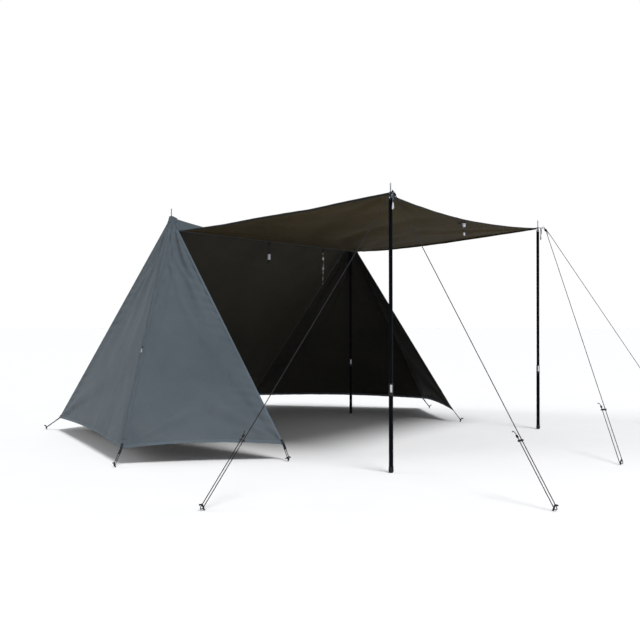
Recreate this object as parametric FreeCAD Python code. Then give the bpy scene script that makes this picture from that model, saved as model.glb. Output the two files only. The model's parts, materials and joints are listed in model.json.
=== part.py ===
import FreeCAD, Part
import itertools
import math
import os

# A-frame pup tent: two ridge poles, a back slope, two pointed end walls, and a front panel that is
# raised on two more poles as an awning.
#
# Frame, millimetres: the origin is where the near ridge pole stands on the ground. +X runs towards the
# awning, +Y runs along the ridge to the far ridge pole, +Z is up.

V = FreeCAD.Vector
UP = V(0, 0, 1)

# Driving dimensions
ridge_height = 1600.0        # ground to the fabric on top of every pole
ridge_length = 2240.0        # between the ridge poles, and between the awning poles
front_reach = 1035.0         # ridge to the front hem corners
back_reach = 1245.0          # ridge to the back hem corners
corner_flare = 30.0          # hem corners stand this far outside the ridge poles
end_reach = 740.0            # the middle of an end wall's hem stands this far outside its ridge pole
end_forward = 350.0          # and this far in front of the ridge
hem_height = 100.0           # hem corners above the ground
hem_rise = 25.0              # how far a hem curves up between its corners
ridge_sag = 85.0             # sag of the ridge line between its poles
seam_share = 0.069           # share of the front slope that stays fixed above the awning seam
awning_pole_x = 1800.0
panel_length = 1705.0        # awning seam to the front panel's corners
panel_flare = 22.0           # front corners of the panel stand this far outside the awning poles
front_edge_sag = 46.0        # droop of the panel's front edge
front_edge_curve = 45.0      # how far the front edge curves in between its corners
panel_belly = 32.0           # extra droop of the middle of the panel

# Fabric and seams
fabric = 1.5                 # thickness of a sheet
webbing = 2.5                # thickness of a tab, loop or tie
seam_gap = 3.0               # room from a seam line to the edge of a sheet
apex_depth = 44.0            # the wall sheets start this far below the ridge's ends
apex_radius = 28.0           # and the roof sheets this far from the pole
piping_radius = 3.0
flap_width = 34.0            # flap of the seam tape, from the piping over the front panel
flap_base = 1.2              # height of its underside above the piping's axis
seam_clearance = 5.5         # from the awning seam's axis to the sheets beside it
columns = 12                 # flat facets along a curved sheet
rows = 5                     # and down the awning panel

# Poles
lower_radius = 12.5
upper_radius = 11.0
slide_clearance = 0.05
upper_wall = 1.2
lower_top = 440.0            # top of the lower tube
tube_overlap = 230.0         # length of the upper tube inside the lower one
upper_top = 1568.0
foot_flat = 9.5              # radius of the flat underside
foot_radius = 15.0           # of the bulb, at its widest
foot_widest = 11.0           # height of that
foot_sleeve = 13.8           # radius of the sleeve above the bulb
foot_shoulder = 21.0         # height at which the sleeve starts
foot_height = 35.0
foot_floor = 6.0
collar_gap = 0.3             # from the top of the lower tube to the lock collar
collar_radius = 12.5
collar_height = 70.0
collar_ribs = 16
rib_radius = 0.6
rib_length = 12.0
rib_margin = 3.0             # from the foot of a collar to its ribs
plug_length = 28.0           # of the spike's root, inside the upper tube
spike_shoulder = 3.0         # straight rim of the spike's cone
cone_top = 1597.0
neck_flare = 1.0
neck_radius = 4.5
neck_top = 1607.0
spike_radius = 4.0
spike_wall_top = 1656.0
tip_radius = 2.4
tip_chamfer = 3.0
tip_height = 4.0

# Cap sewn over each ridge apex, and the eyelets
cap_low = 1571.0
cap_high = 1603.0
cap_base_radius = 17.0
cap_top_radius = 10.5
cap_wall = 3.5
cap_top = 3.0
eyelet_radius = 9.5
eyelet_bore = 4.9
eyelet_thick = 1.8
eyelet_gap = 0.2

# The zip of each end, on the outside of its middle seam
zip_width = 26.0
zip_thick = 2.0
zip_stand = 4.0              # from the seam line out to the tape
zip_low = 0.97               # shares of the way down the seam
zip_high = 0.05
slider_from_hem = 680.0
slider_size = (14.0, 10.0, 7.0)
slider_round = 1.5
slider_gap = 0.6
pull_size = (9.0, 32.0, 1.6)
pull_stand = 4.0             # from the slider's underside to the pull

# Guy lines and pegs
cord_radius = 2.3
cord_spacing = 20.0          # between the two runs below a tensioner
tensioner_share = 0.82       # of the way down the guy line
tensioner_across = 36.0
tensioner_tall = 9.0
tensioner_deep = 11.0
tensioner_round = 2.4
tensioner_hole = 3.0
knot_radius = 5.0
knot_gap = 22.0              # from a tensioner up to the knot at the end of its second run
cord_gap = 0.6               # between a cord and what it is tied to
cord_start = 5.0             # where a guy line starts, beyond the outermost point of its ring
guy_ground = 14.0            # height at which a cord holds its peg
ring_radius = 9.0
ring_wire = 1.5
tab_width = 24.0
tab_inner = 18.0
tab_outer = 44.0
tab_hole = 5.2
ring_hole_at = 38.0
ring_hole = 3.2
peg_radius = 4.0
peg_length = 200.0
peg_above = 30.0
peg_lean = 22.0              # degrees from upright, head away from the tent
peg_hook = 16.0
peg_point = 14.0
peg_tip_radius = 0.8

# Horizontal place of each guy line's peg, from the foot of its awning pole: forward, then outward
guy_pegs = {
    ("near", "side"): (-220.0, 1290.0),
    ("near", "front"): (1090.0, 340.0),
    ("far", "side"): (800.0, 1030.0),
    ("far", "front"): (1000.0, -1220.0),
}

# The same for the hem corners' pegs, from the corner: forward, then outward
hem_pegs = {"back": (-150.0, 20.0), "end": (30.0, 75.0), "front": (60.0, 25.0)}
loop_length = 38.0
loop_width = 18.0

# Webbing that hangs: peg loops on the awning's corners and front edge, and roll-up ties at its seam
strap_gap = 2.5              # below the sheet that a strap hangs from
front_loop_length = 95.0
front_loop_width = 20.0
front_loop_opening = (12.0, 30.0)
front_loop_rim = 4.0
corner_loop_ahead = 22.0     # of a corner loop, from the axis of its awning pole
corner_loop_outward = 8.0
ties = {"short": (-140.0, 175.0, 24.0), "long": (590.0, 320.0, 14.0)}   # along the ridge, length, width

half = ridge_length / 2
middle = half
sides = {"near": -1, "far": 1}
slope_drop = ridge_height - hem_height
seam_x = seam_share * front_reach
seam_z = ridge_height - seam_share * slope_drop
rest_angle = math.atan2(ridge_height - seam_z, awning_pole_x - seam_x)
panel_way = V(math.cos(rest_angle), 0, math.sin(rest_angle))

shapes = {}


def out(side, distance):
    """The Y of a point this far outside a ridge pole."""
    return middle + sides[side] * (half + distance)


def unit(vector):
    return V(vector).normalize()


def between(a, b, share):
    return a + (b - a) * share


def arch(share):
    """0 at both ends, 1 in the middle."""
    return 4 * share * (1 - share)


def facet(a, b, c):
    return Part.Face(Part.makePolygon([a, b, c, a]))


def sheet(grid):
    """A closed sheet of flat facets, half the fabric's thickness to each side of a grid of points."""
    last_row = len(grid) - 1
    last_column = len(grid[0]) - 1

    def normal(i, j):
        down = grid[min(i + 1, last_row)][j] - grid[max(i - 1, 0)][j]
        across = grid[i][min(j + 1, last_column)] - grid[i][max(j - 1, 0)]
        return unit(down.cross(across))

    skins = []
    for way in (0.5, -0.5):
        skins.append([[point + normal(i, j) * (way * fabric) for j, point in enumerate(row)]
                      for i, row in enumerate(grid)])
    faces = []
    for skin in skins:
        for i in range(last_row):
            for j in range(last_column):
                a, b = skin[i][j], skin[i + 1][j]
                c, d = skin[i + 1][j + 1], skin[i][j + 1]
                faces += [facet(a, b, c), facet(a, c, d)]
    border = [(i, 0) for i in range(last_row)]
    border += [(last_row, j) for j in range(last_column)]
    border += [(i, last_column) for i in range(last_row, 0, -1)]
    border += [(0, j) for j in range(last_column, 0, -1)]
    for (i, j), (k, m) in zip(border, border[1:] + border[:1]):
        a, b = skins[0][i][j], skins[0][k][m]
        c, d = skins[1][k][m], skins[1][i][j]
        faces += [facet(a, b, c), facet(a, c, d)]
    shell = Part.makeShell(faces)
    shell.sewShape()
    solid = Part.makeSolid(shell)
    if solid.Volume < 0:
        solid.reverse()
    return solid


def plate(edges, thickness, normal):
    """A flat plate round closed edges, half its thickness to each side."""
    face = Part.Face(Part.Wire(edges))
    face.translate(normal * (-thickness / 2))
    return face.extrude(normal * thickness)


def rod(start, end, radius):
    return Part.makeCylinder(radius, (end - start).Length, start, end - start)


def ring_solid(outer, inner, z, height, x, y):
    blank = Part.makeCylinder(outer, height, V(x, y, z))
    return blank.cut(Part.makeCylinder(inner, height, V(x, y, z)))


def spun(edges, x, y):
    """A solid of revolution about an upright axis, from closed edges in the XZ plane."""
    solid = Part.Face(Part.Wire(edges)).revolve(V(0, 0, 0), UP, 360)
    solid.translate(V(x, y, 0))
    return solid


def turned(profile, x, y):
    """The same from (radius, height) points."""
    points = [V(r, 0, z) for r, z in profile]
    return spun(Part.makePolygon(points + points[:1]).Edges, x, y)


def stand(shape, origin, x_way, z_way):
    """Place a shape built at the origin so that its Z and X run these ways."""
    z = unit(z_way)
    y = unit(z.cross(x_way))
    x = y.cross(z)
    matrix = FreeCAD.Matrix(x.x, y.x, z.x, origin.x,
                            x.y, y.y, z.y, origin.y,
                            x.z, y.z, z.z, origin.z,
                            0, 0, 0, 1)
    moved = shape.copy()
    moved.Placement = FreeCAD.Placement(matrix)
    return moved


# Corner points of the tent
def apex(side):
    return V(0, out(side, 0), ridge_height)


def back_corner(side):
    return V(-back_reach, out(side, corner_flare), hem_height)


def front_corner(side):
    return V(front_reach, out(side, corner_flare), hem_height)


def end_corner(side):
    return V(end_forward, out(side, end_reach), hem_height)


def ridge_z(y):
    return ridge_height - ridge_sag * arch(y / ridge_length)


# The walls
def end_wall(side, corner, next_corner):
    """One of an end's two flat panels, from below the apex down to a hem that curves up."""
    top = apex(side)
    across = (corner - top).cross(next_corner - top)
    normal = unit(across)
    start = apex_depth / slope_drop
    inner = unit(normal.cross(corner - top)) * seam_gap
    inner_next = unit((next_corner - top).cross(normal)) * seam_gap
    a = between(top, corner, start) + inner
    b = corner + inner
    c = next_corner + inner_next
    d = between(top, next_corner, start) + inner_next
    low = between(b, c, 0.5)
    crown = low + unit(top - low) * hem_rise
    edges = [Part.makeLine(a, b), Part.Arc(b, crown, c).toShape(), Part.makeLine(c, d), Part.makeLine(d, a)]
    return plate(edges, fabric, normal)


def back_wall():
    top_half = half - apex_radius
    low_half = half + corner_flare - seam_gap
    grid = [[], []]
    for j in range(columns + 1):
        share = j / columns
        top_y = middle + top_half * (2 * share - 1)
        low_y = middle + low_half * (2 * share - 1)
        top = V(-seam_gap, top_y, ridge_z(top_y))
        low = V(-back_reach, low_y, hem_height)
        grid[0].append(top)
        grid[1].append(low + unit(top - low) * hem_rise * arch(share))
    return sheet(grid)


def roof_strip():
    grid = [[], []]
    for j in range(columns + 1):
        share = 2 * j / columns - 1
        top_y = middle + (half - apex_radius) * share
        low_y = middle + half * share
        top = V(seam_gap, top_y, ridge_z(top_y))
        seam = V(seam_x, low_y, seam_z)
        grid[0].append(top)
        grid[1].append(seam + unit(top - seam) * seam_clearance)
    return sheet(grid)


def awning_panel():
    grid = []
    for i in range(rows + 1):
        down = i / rows
        width = half - seam_gap + (panel_flare + seam_gap) * down
        line = []
        for j in range(columns + 1):
            share = j / columns
            reach = panel_length - front_edge_curve * arch(share) - seam_clearance
            droop = (front_edge_sag * down + panel_belly * math.sin(math.pi * down)) * arch(share)
            start = V(seam_x, middle + width * (2 * share - 1), seam_z)
            line.append(start + panel_way * (seam_clearance + reach * down) - UP * droop)
        grid.append(line)
    return sheet(grid)


shapes["back_wall"] = back_wall()
shapes["ridge_strip"] = roof_strip()
shapes["front_panel"] = awning_panel()
for side in sides:
    shapes[side + "_end_back_panel"] = end_wall(side, back_corner(side), end_corner(side))
    shapes[side + "_end_front_panel"] = end_wall(side, end_corner(side), front_corner(side))
piping_start = V(seam_x, 2 * seam_gap, seam_z)
piping_end = V(seam_x, ridge_length - 2 * seam_gap, seam_z)
flap = Part.makeBox(flap_width, (piping_end - piping_start).Length, fabric, V(0, 0, flap_base))
flap = stand(flap, piping_start, panel_way, panel_way.cross(V(0, 1, 0)))
shapes["awning_seam_tape"] = rod(piping_start, piping_end, piping_radius).fuse(flap)


# The zips
for side in sides:
    top = apex(side)
    foot = end_corner(side)
    seam_way = unit(foot - top)
    outward = unit(V(end_forward, sides[side] * end_reach, 0))
    face_way = unit(outward - seam_way * outward.dot(seam_way))
    across = seam_way.cross(face_way)
    tape_length = (foot - top).Length * (zip_low - zip_high)
    tape = Part.makeBox(zip_width, tape_length, zip_thick, V(-zip_width / 2, 0, 0))
    at = between(top, foot, zip_high) + face_way * zip_stand
    shapes[side + "_zip_tape"] = stand(tape, at, across, face_way)
    wide, long, deep = slider_size
    slider = Part.makeBox(wide, long, deep, V(-wide / 2, -long / 2, 0))
    slider = slider.makeFillet(slider_round, slider.Edges)
    wide, long, deep = pull_size
    pull = Part.makeBox(wide, long, deep, V(-wide / 2, 0, pull_stand))
    at = foot - seam_way * slider_from_hem + face_way * (zip_stand + zip_thick + slider_gap)
    shapes[side + "_zip_slider"] = stand(slider.fuse(pull), at, across, face_way)


# Poles
def pole_foot(x, y):
    """A rounded bulb with a flat underside, and a sleeve round the end of the lower tube."""
    bore = lower_radius + slide_clearance
    bulb = Part.Arc(V(foot_flat, 0, 0), V(foot_radius, 0, foot_widest), V(foot_sleeve, 0, foot_shoulder))
    points = [V(foot_sleeve, 0, foot_shoulder), V(foot_sleeve, 0, foot_height), V(bore, 0, foot_height),
              V(bore, 0, foot_floor), V(0, 0, foot_floor), V(0, 0, 0), V(foot_flat, 0, 0)]
    return spun([bulb.toShape()] + Part.makePolygon(points).Edges, x, y)


def pole(name, x, y):
    shapes[name + "_foot"] = pole_foot(x, y)
    lower_bore = upper_radius + slide_clearance
    floor = foot_floor + slide_clearance
    shapes[name + "_lower_tube"] = ring_solid(lower_radius, lower_bore, floor, lower_top - floor, x, y)
    base = lower_top - tube_overlap
    upper_bore = upper_radius - upper_wall
    shapes[name + "_upper_tube"] = ring_solid(upper_radius, upper_bore, base, upper_top - base, x, y)
    collar_base = lower_top + collar_gap
    collar = ring_solid(collar_radius, lower_bore, collar_base, collar_height, x, y)
    for k in range(collar_ribs):
        turn = 2 * math.pi * k / collar_ribs
        rib_at = V(x, y, collar_base + rib_margin) + V(math.cos(turn), math.sin(turn), 0) * collar_radius
        collar = collar.fuse(Part.makeCylinder(rib_radius, rib_length, rib_at))
    shapes[name + "_lock_collar"] = collar.removeSplitter()
    plug_radius = upper_bore - slide_clearance
    spike = turned([(0, upper_top - plug_length), (plug_radius, upper_top - plug_length),
                    (plug_radius, upper_top + slide_clearance), (upper_radius, upper_top + slide_clearance),
                    (upper_radius, upper_top + spike_shoulder), (neck_radius + neck_flare, cone_top),
                    (neck_radius, cone_top), (neck_radius, neck_top), (spike_radius, neck_top),
                    (spike_radius, spike_wall_top), (tip_radius, spike_wall_top + tip_chamfer),
                    (0, spike_wall_top + tip_height)], x, y)
    shapes[name + "_spike"] = spike


for side in sides:
    pole(side + "_ridge_pole", 0, out(side, 0))
    pole(side + "_awning_pole", awning_pole_x, out(side, 0))


# The apex caps and their eyelets
for side in sides:
    y = out(side, 0)
    cap = turned([(cap_base_radius - cap_wall, cap_low), (cap_base_radius, cap_low),
                  (cap_top_radius, cap_high), (tab_hole, cap_high), (tab_hole, cap_high - cap_top),
                  (cap_top_radius - cap_wall, cap_high - cap_top)], 0, y)
    shapes[side + "_apex_cap"] = cap
    eyelet_base = cap_high + eyelet_gap
    shapes[side + "_apex_eyelet"] = ring_solid(eyelet_radius, eyelet_bore, eyelet_base, eyelet_thick, 0, y)


# Corner tab, its eyelet and the guy ring on each awning pole
diagonal = {side: unit(V(1, sides[side], 0)) for side in sides}
tab_base = cone_top + 0.3
for side in sides:
    at = V(awning_pole_x, out(side, 0), tab_base)
    tab = Part.makeBox(tab_inner + tab_outer, tab_width, webbing, V(-tab_inner, -tab_width / 2, 0))
    tab = tab.cut(Part.makeCylinder(tab_hole, webbing))
    tab = tab.cut(Part.makeCylinder(ring_hole, webbing, V(ring_hole_at, 0, 0)))
    shapes[side + "_awning_corner_tab"] = stand(tab, at, diagonal[side], UP)
    eyelet = ring_solid(eyelet_radius, eyelet_bore, tab_base + webbing + eyelet_gap, eyelet_thick,
                        awning_pole_x, out(side, 0))
    shapes[side + "_awning_eyelet"] = eyelet
    ring_centre = at + diagonal[side] * (ring_hole_at + ring_radius) + UP * (webbing / 2)
    ring = Part.makeTorus(ring_radius, ring_wire)
    shapes[side + "_guy_ring"] = stand(ring, ring_centre, diagonal[side], diagonal[side].cross(UP))


# Pegs: a round stake with a hook that points away from the tent
def peg_way(outward):
    lean = math.radians(peg_lean)
    return outward * math.sin(lean) + UP * math.cos(lean)


def peg_room(way, outward):
    """How far along a cord's way its end stays from the axis of a peg."""
    return (peg_radius + cord_radius + cord_gap) / way.cross(peg_way(outward)).Length


def make_peg():
    """A peg whose stake crosses the ground at the origin, with its hook towards +X."""
    way = peg_way(V(1, 0, 0))
    head = way * peg_above
    tip = head - way * peg_length
    stake = rod(tip + way * peg_point, head, peg_radius)
    point = Part.makeCone(peg_tip_radius, peg_radius, peg_point, tip, way)
    hook = rod(head, head + V(peg_hook, 0, 0), peg_radius)
    knuckle = Part.makeSphere(peg_radius, head)
    return stake.fuse([point, hook, knuckle]).removeSplitter()


peg_shape = make_peg()


def peg(at, outward):
    """A peg whose stake passes through a point above the ground, with its hook outward."""
    way = peg_way(outward)
    return stand(peg_shape, at - way * (at.z / way.z), outward, UP)


# Guy lines: one run from the ring to the peg, and a second run back up to the tensioner
ring_reach = ring_hole_at + 2 * ring_radius + ring_wire
guy_peg_shapes = []
for (side, way), (forward, outward) in guy_pegs.items():
    pole_top = V(awning_pole_x, out(side, 0), tab_base + webbing / 2)
    ground = V(awning_pole_x + forward, out(side, outward), guy_ground)
    flat = unit(V(forward, sides[side] * outward, 0))
    start = pole_top + diagonal[side] * (ring_reach + ring_wire) + flat * cord_start
    line = unit(ground - start)
    across = unit(line.cross(UP))
    knot_share = tensioner_share - knot_gap / (ground - start).Length
    back = between(start, ground, knot_share) + across * cord_spacing
    turn = ground + across * cord_spacing
    guy = rod(start, ground, cord_radius).fuse([
        rod(ground, turn, cord_radius), rod(turn, back, cord_radius),
        Part.makeSphere(cord_radius, ground), Part.makeSphere(cord_radius, turn),
        Part.makeSphere(knot_radius, back)])
    shapes[f"{side}_{way}_guy_line"] = guy.removeSplitter()
    centre = between(start, ground, tensioner_share) + across * (cord_spacing / 2)
    block = Part.makeBox(tensioner_across, tensioner_deep, tensioner_tall,
                         V(-tensioner_across / 2, -tensioner_deep / 2, -tensioner_tall / 2))
    block = block.makeFillet(tensioner_round, block.Edges)
    for hole in (-0.5, 0.5):
        hole_at = V(hole * cord_spacing, 0, -tensioner_tall / 2)
        block = block.cut(Part.makeCylinder(tensioner_hole, tensioner_tall, hole_at))
    shapes[f"{side}_{way}_tensioner"] = stand(block, centre, across, line)
    guy_peg_shapes.append(peg(ground + across * (cord_spacing / 2) - line * peg_room(line, flat), flat))
shapes["guy_pegs"] = Part.makeCompound(guy_peg_shapes)


# Hem pegs, with the cord and the webbing loop that hold each corner
corners = {"back": back_corner, "end": end_corner, "front": front_corner}
loop_shapes = []
cord_shapes = []
peg_shapes = []
for side, (place, (forward, outward)) in itertools.product(sides, hem_pegs.items()):
    corner = corners[place](side)
    offset = V(forward, sides[side] * outward, 0)
    flat = unit(offset)
    peg_at = corner + offset
    peg_at.z = guy_ground
    start = corner + unit(peg_at - corner) * (2 * seam_gap)
    way = unit(peg_at - start)
    loop = Part.makeBox(loop_width, webbing, loop_length, V(-loop_width / 2, -webbing / 2, 0))
    loop_shapes.append(stand(loop, start, way.cross(UP), way))
    tie_end = peg_at - way * peg_room(way, flat)
    cord_shapes.append(rod(start + way * (loop_length + cord_gap), tie_end, cord_radius))
    peg_shapes.append(peg(peg_at, flat))
shapes["hem_webbing_loops"] = Part.makeCompound(loop_shapes)
shapes["hem_peg_cords"] = Part.makeCompound(cord_shapes)
shapes["hem_pegs"] = Part.makeCompound(peg_shapes)


# The peg loops and the roll-up ties
def front_loop(top):
    """A webbing strap that hangs from a point, with an opening near its low end."""
    low = top - V(webbing / 2, front_loop_width / 2, front_loop_length)
    strap = Part.makeBox(webbing, front_loop_width, front_loop_length, low)
    wide, tall = front_loop_opening
    rim = low + V(0, (front_loop_width - wide) / 2, front_loop_rim)
    return strap.cut(Part.makeBox(webbing, wide, tall, rim))


for side in sides:
    shapes[side + "_front_loop"] = front_loop(V(awning_pole_x + corner_loop_ahead,
                                                out(side, corner_loop_outward), tab_base - strap_gap))
edge_reach = panel_length - front_edge_curve - front_loop_width
edge_drop = front_edge_sag + strap_gap
shapes["middle_front_loop"] = front_loop(V(seam_x, middle, seam_z) + panel_way * edge_reach - UP * edge_drop)

for name, (along, length, width) in ties.items():
    low = V(seam_x - webbing / 2, middle + along - width / 2, seam_z - piping_radius - strap_gap - length)
    shapes[name + "_rollup_tie"] = Part.makeBox(webbing, width, length, low)


os.makedirs("parts", exist_ok=True)
for name, shape in shapes.items():
    shape.exportStep("parts/" + name + ".step")
    print(name, len(shape.Solids), shape.isValid(), round(shape.Volume / 1000, 2))
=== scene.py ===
import json
import math

import bpy
import numpy as np
from mathutils import Matrix, Vector


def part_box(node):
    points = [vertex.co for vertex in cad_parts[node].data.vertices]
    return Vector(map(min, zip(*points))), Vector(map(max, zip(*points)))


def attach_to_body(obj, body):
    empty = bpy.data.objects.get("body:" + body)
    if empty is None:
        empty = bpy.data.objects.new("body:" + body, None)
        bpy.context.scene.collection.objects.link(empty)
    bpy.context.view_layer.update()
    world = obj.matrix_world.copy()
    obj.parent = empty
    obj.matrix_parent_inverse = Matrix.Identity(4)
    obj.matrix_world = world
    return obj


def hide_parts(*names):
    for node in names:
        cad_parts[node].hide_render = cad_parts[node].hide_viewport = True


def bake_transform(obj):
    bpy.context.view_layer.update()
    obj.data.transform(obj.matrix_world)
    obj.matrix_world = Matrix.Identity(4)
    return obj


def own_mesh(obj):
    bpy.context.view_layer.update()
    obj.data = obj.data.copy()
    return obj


# Looks of an A-frame pup tent with a raised awning: sewn canvas sheets, a draped awning, zips, webbing,
# braided guy lines and peg cords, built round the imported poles, fittings and pegs. Metres throughout.

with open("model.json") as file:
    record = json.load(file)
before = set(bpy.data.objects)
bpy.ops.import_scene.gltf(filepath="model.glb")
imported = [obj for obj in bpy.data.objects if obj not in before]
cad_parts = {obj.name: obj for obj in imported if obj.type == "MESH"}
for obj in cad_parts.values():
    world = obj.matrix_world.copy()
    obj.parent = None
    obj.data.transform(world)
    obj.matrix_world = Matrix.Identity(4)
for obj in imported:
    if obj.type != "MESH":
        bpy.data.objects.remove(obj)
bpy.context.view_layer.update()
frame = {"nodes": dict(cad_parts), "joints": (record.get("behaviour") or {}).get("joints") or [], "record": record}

JOINTS = {joint["name"]: joint for joint in frame["joints"]}
MOUNTS = {mount["name"]: np.array(mount["pos_m"], float) for mount in frame["record"]["mounts"]}
SIDES = {"near": -1, "far": 1}
X = np.array([1.0, 0.0, 0.0])
Y = np.array([0.0, 1.0, 0.0])
UP = np.array([0.0, 0.0, 1.0])

# Cloth
CANVAS = 0.0012              # thickness of a sheet
HEM_RISE = 0.025             # how far a hem curves up between its corners
RIDGE_SAG = 0.085
CORNER_GAP = 0.003           # from a CAD sheet's corner to the seam lines that meet there
CAP_ABOVE = 0.003            # from the fabric line at an apex up to the top of its cap
AWNING_FLARE = 0.022         # front corners of the awning stand this far outside the poles
AWNING_SAG = 0.046           # droop of its front edge
AWNING_CURVE = 0.045         # how far that edge curves in
AWNING_BELLY = 0.032         # extra droop of its middle
HEM_WIDTH = 0.020
HEM_THICK = 0.0034
HEM_BEYOND = 0.0015          # how far a hem's fold stands out past the cloth's edge
HEM_STITCH_ROWS = (0.55, 0.85)   # places of its rows of stitches, as shares of its width
STITCH_PITCH = 0.006
STITCH_LENGTH = 0.0042
THREAD = 0.00045
CORD = 0.0023                # radius of every cord
CORD_SPACING = 0.020         # between the two runs below a tensioner
GUY_GROUND = 0.014           # height at which a cord holds its peg


# ---------------------------------------------------------------- vectors
def vec(*values):
    return np.array(values, float)


def unit(v):
    v = np.asarray(v, float)
    return v / np.maximum(np.linalg.norm(v, axis=-1, keepdims=True), 1e-12)


def length(v):
    return np.linalg.norm(v, axis=-1)


def mix(a, b, t):
    return a + (b - a) * t


def arch(t):
    """0 at both ends, 1 in the middle."""
    return 4 * t * (1 - t)


def ease(t):
    """A smooth step from 0 to 1."""
    t = np.clip(t, 0, 1)
    return t * t * (3 - 2 * t)


def line_distance(points, a, b):
    way = unit(b - a)
    away = points - a
    return length(away - (away @ way)[..., None] * way)


def square_to(v, way):
    """The direction of v once its part along way is taken out."""
    return unit(v - way * np.sum(v * way, axis=-1, keepdims=True))


def run_along(path):
    """Distance along a path at each of its points."""
    return np.concatenate([[0], np.cumsum(length(np.diff(path, axis=0)))])


def values_at(at, run, values):
    """Rows of values, read at distances along a path."""
    return np.stack([np.interp(at, run, values[:, k]) for k in range(3)], 1)


def resample(path, step):
    """Points at an even spacing along a path, near to step."""
    run = run_along(path)
    count = max(2, int(round(run[-1] / step)) + 1)
    return values_at(np.linspace(0, run[-1], count), run, path)


def full_turn(steps):
    """Angles once round, without the last one that would repeat the first."""
    return np.linspace(0, 2 * math.pi, steps + 1)[:-1]


def smooth_path(points, steps=8):
    """A Catmull-Rom curve through points."""
    p = np.array(points, float)
    p = np.vstack([2 * p[0] - p[1], p, 2 * p[-1] - p[-2]])
    out = []
    for i in range(1, len(p) - 2):
        for t in np.linspace(0, 1, steps, endpoint=False):
            a, b, c, d = p[i - 1], p[i], p[i + 1], p[i + 2]
            out.append(0.5 * (2 * b + (c - a) * t + (2 * a - 5 * b + 4 * c - d) * t ** 2
                              + (3 * b - a - 3 * c + d) * t ** 3))
    out.append(p[-2])
    return np.array(out)


# ---------------------------------------------------------------- meshes
class Shape:
    """Points, faces, each face's material number and its corners' UVs in metres."""

    def __init__(self):
        self.points, self.faces, self.slots, self.uvs = [], [], [], []

    def add(self, points, faces, uvs, slot=0):
        base = len(self.points)
        self.points.extend(np.asarray(points, float).tolist())
        self.faces.extend([tuple(base + i for i in face) for face in faces])
        self.uvs.extend(uvs)
        slots = slot if hasattr(slot, "__len__") else [slot] * len(faces)
        self.slots.extend(int(s) for s in slots)

    def build(self, name, materials, record_slot, sharp=50.0):
        mesh = bpy.data.meshes.new(name)
        mesh.from_pydata(self.points, [], self.faces)
        layer = mesh.uv_layers.new(name="UVMap")
        flat = np.array([c for face in self.uvs for c in face], np.float32)
        layer.data.foreach_set("uv", flat.ravel())
        for material in materials:
            mesh.materials.append(material)
        mesh.polygons.foreach_set("material_index", self.slots)
        mesh.update()
        mesh.validate()
        mesh.shade_smooth()
        mark_sharp(mesh, math.radians(sharp))
        piece = bpy.data.objects.new(name, mesh)
        bpy.context.scene.collection.objects.link(piece)
        return piece


def mark_sharp(mesh, angle):
    """Marks every edge whose faces meet at more than this angle."""
    normals = np.zeros(len(mesh.polygons) * 3)
    mesh.polygons.foreach_get("normal", normals)
    normals = normals.reshape(-1, 3)
    edge_of_loop = np.zeros(len(mesh.loops), int)
    mesh.loops.foreach_get("edge_index", edge_of_loop)
    totals = np.zeros(len(mesh.polygons), int)
    mesh.polygons.foreach_get("loop_total", totals)
    face_of_loop = np.repeat(np.arange(len(totals)), totals)
    order = np.argsort(edge_of_loop, kind="stable")
    edges, faces = edge_of_loop[order], face_of_loop[order]
    pairs = np.nonzero(edges[1:] == edges[:-1])[0]
    bend = np.einsum("ij,ij->i", normals[faces[pairs]], normals[faces[pairs + 1]])
    sharp = np.zeros(len(mesh.edges), bool)
    sharp[edges[pairs]] = bend < math.cos(angle)
    attribute = mesh.attributes.get("sharp_edge") or mesh.attributes.new("sharp_edge", "BOOLEAN", "EDGE")
    attribute.data.foreach_set("value", sharp)


def grid_normals(grid):
    down = np.gradient(grid, axis=0)
    across = np.gradient(grid, axis=1)
    return unit(np.cross(down, across))


def sheet(shape, grid, uv, thickness=CANVAS, slots=(0, 1), second_uv=None, split=0):
    """A closed sheet, half its thickness to each side of a grid of points.

    Columns from split on take their cloth coordinates from second_uv, when there is one."""
    rows, columns = grid.shape[:2]
    normals = grid_normals(grid)
    skins = [grid + normals * thickness / 2, grid - normals * thickness / 2]
    count = rows * columns
    index = np.arange(count).reshape(rows, columns)
    a, b, c, d = (part.ravel() for part in (index[:-1, :-1], index[1:, :-1], index[1:, 1:], index[:-1, 1:]))
    halves = np.concatenate([np.stack([a, b, c], -1), np.stack([a, c, d], -1)])
    border = np.concatenate([index[:, 0], index[-1, 1:], index[-2::-1, -1], index[0, -2:0:-1]])
    following = np.roll(border, -1)
    rim = np.concatenate([np.stack([border, border + count, following + count], -1),
                          np.stack([border, following + count, following], -1)])
    faces = np.vstack([halves, halves[:, ::-1] + count, rim])
    uvs = np.tile(uv.reshape(-1, 2), (2, 1))[faces]
    if second_uv is not None:
        leftmost = (faces % count % columns).min(axis=1)
        beyond = leftmost >= split
        uvs[beyond] = np.tile(second_uv.reshape(-1, 2), (2, 1))[faces[beyond]]
    labels = [slots[0]] * len(halves) + [slots[1]] * len(halves) + [slots[0]] * len(rim)
    points = np.vstack([skins[0].reshape(-1, 3), skins[1].reshape(-1, 3)])
    shape.add(points, faces.tolist(), uvs.tolist(), labels)
    return normals


def flat_uv(grid, across, down):
    """Cloth coordinates in metres, from two directions in the cloth's plane."""
    return np.stack([grid @ across, grid @ down], -1)


def frames(path, ups=None):
    """Tangent, side and up at each point of a path."""
    path = np.asarray(path, float)
    tangent = unit(np.gradient(path, axis=0))
    if ups is None:
        guess = UP if abs(tangent[0][2]) < 0.9 else X
        up = square_to(guess, tangent[0])
        ups = [up]
        for way in tangent[1:]:
            up = square_to(up, way)
            ups.append(up)
        ups = np.array(ups)
    else:
        ups = square_to(np.broadcast_to(np.asarray(ups, float), path.shape), tangent)
    return tangent, np.cross(tangent, ups), ups


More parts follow.
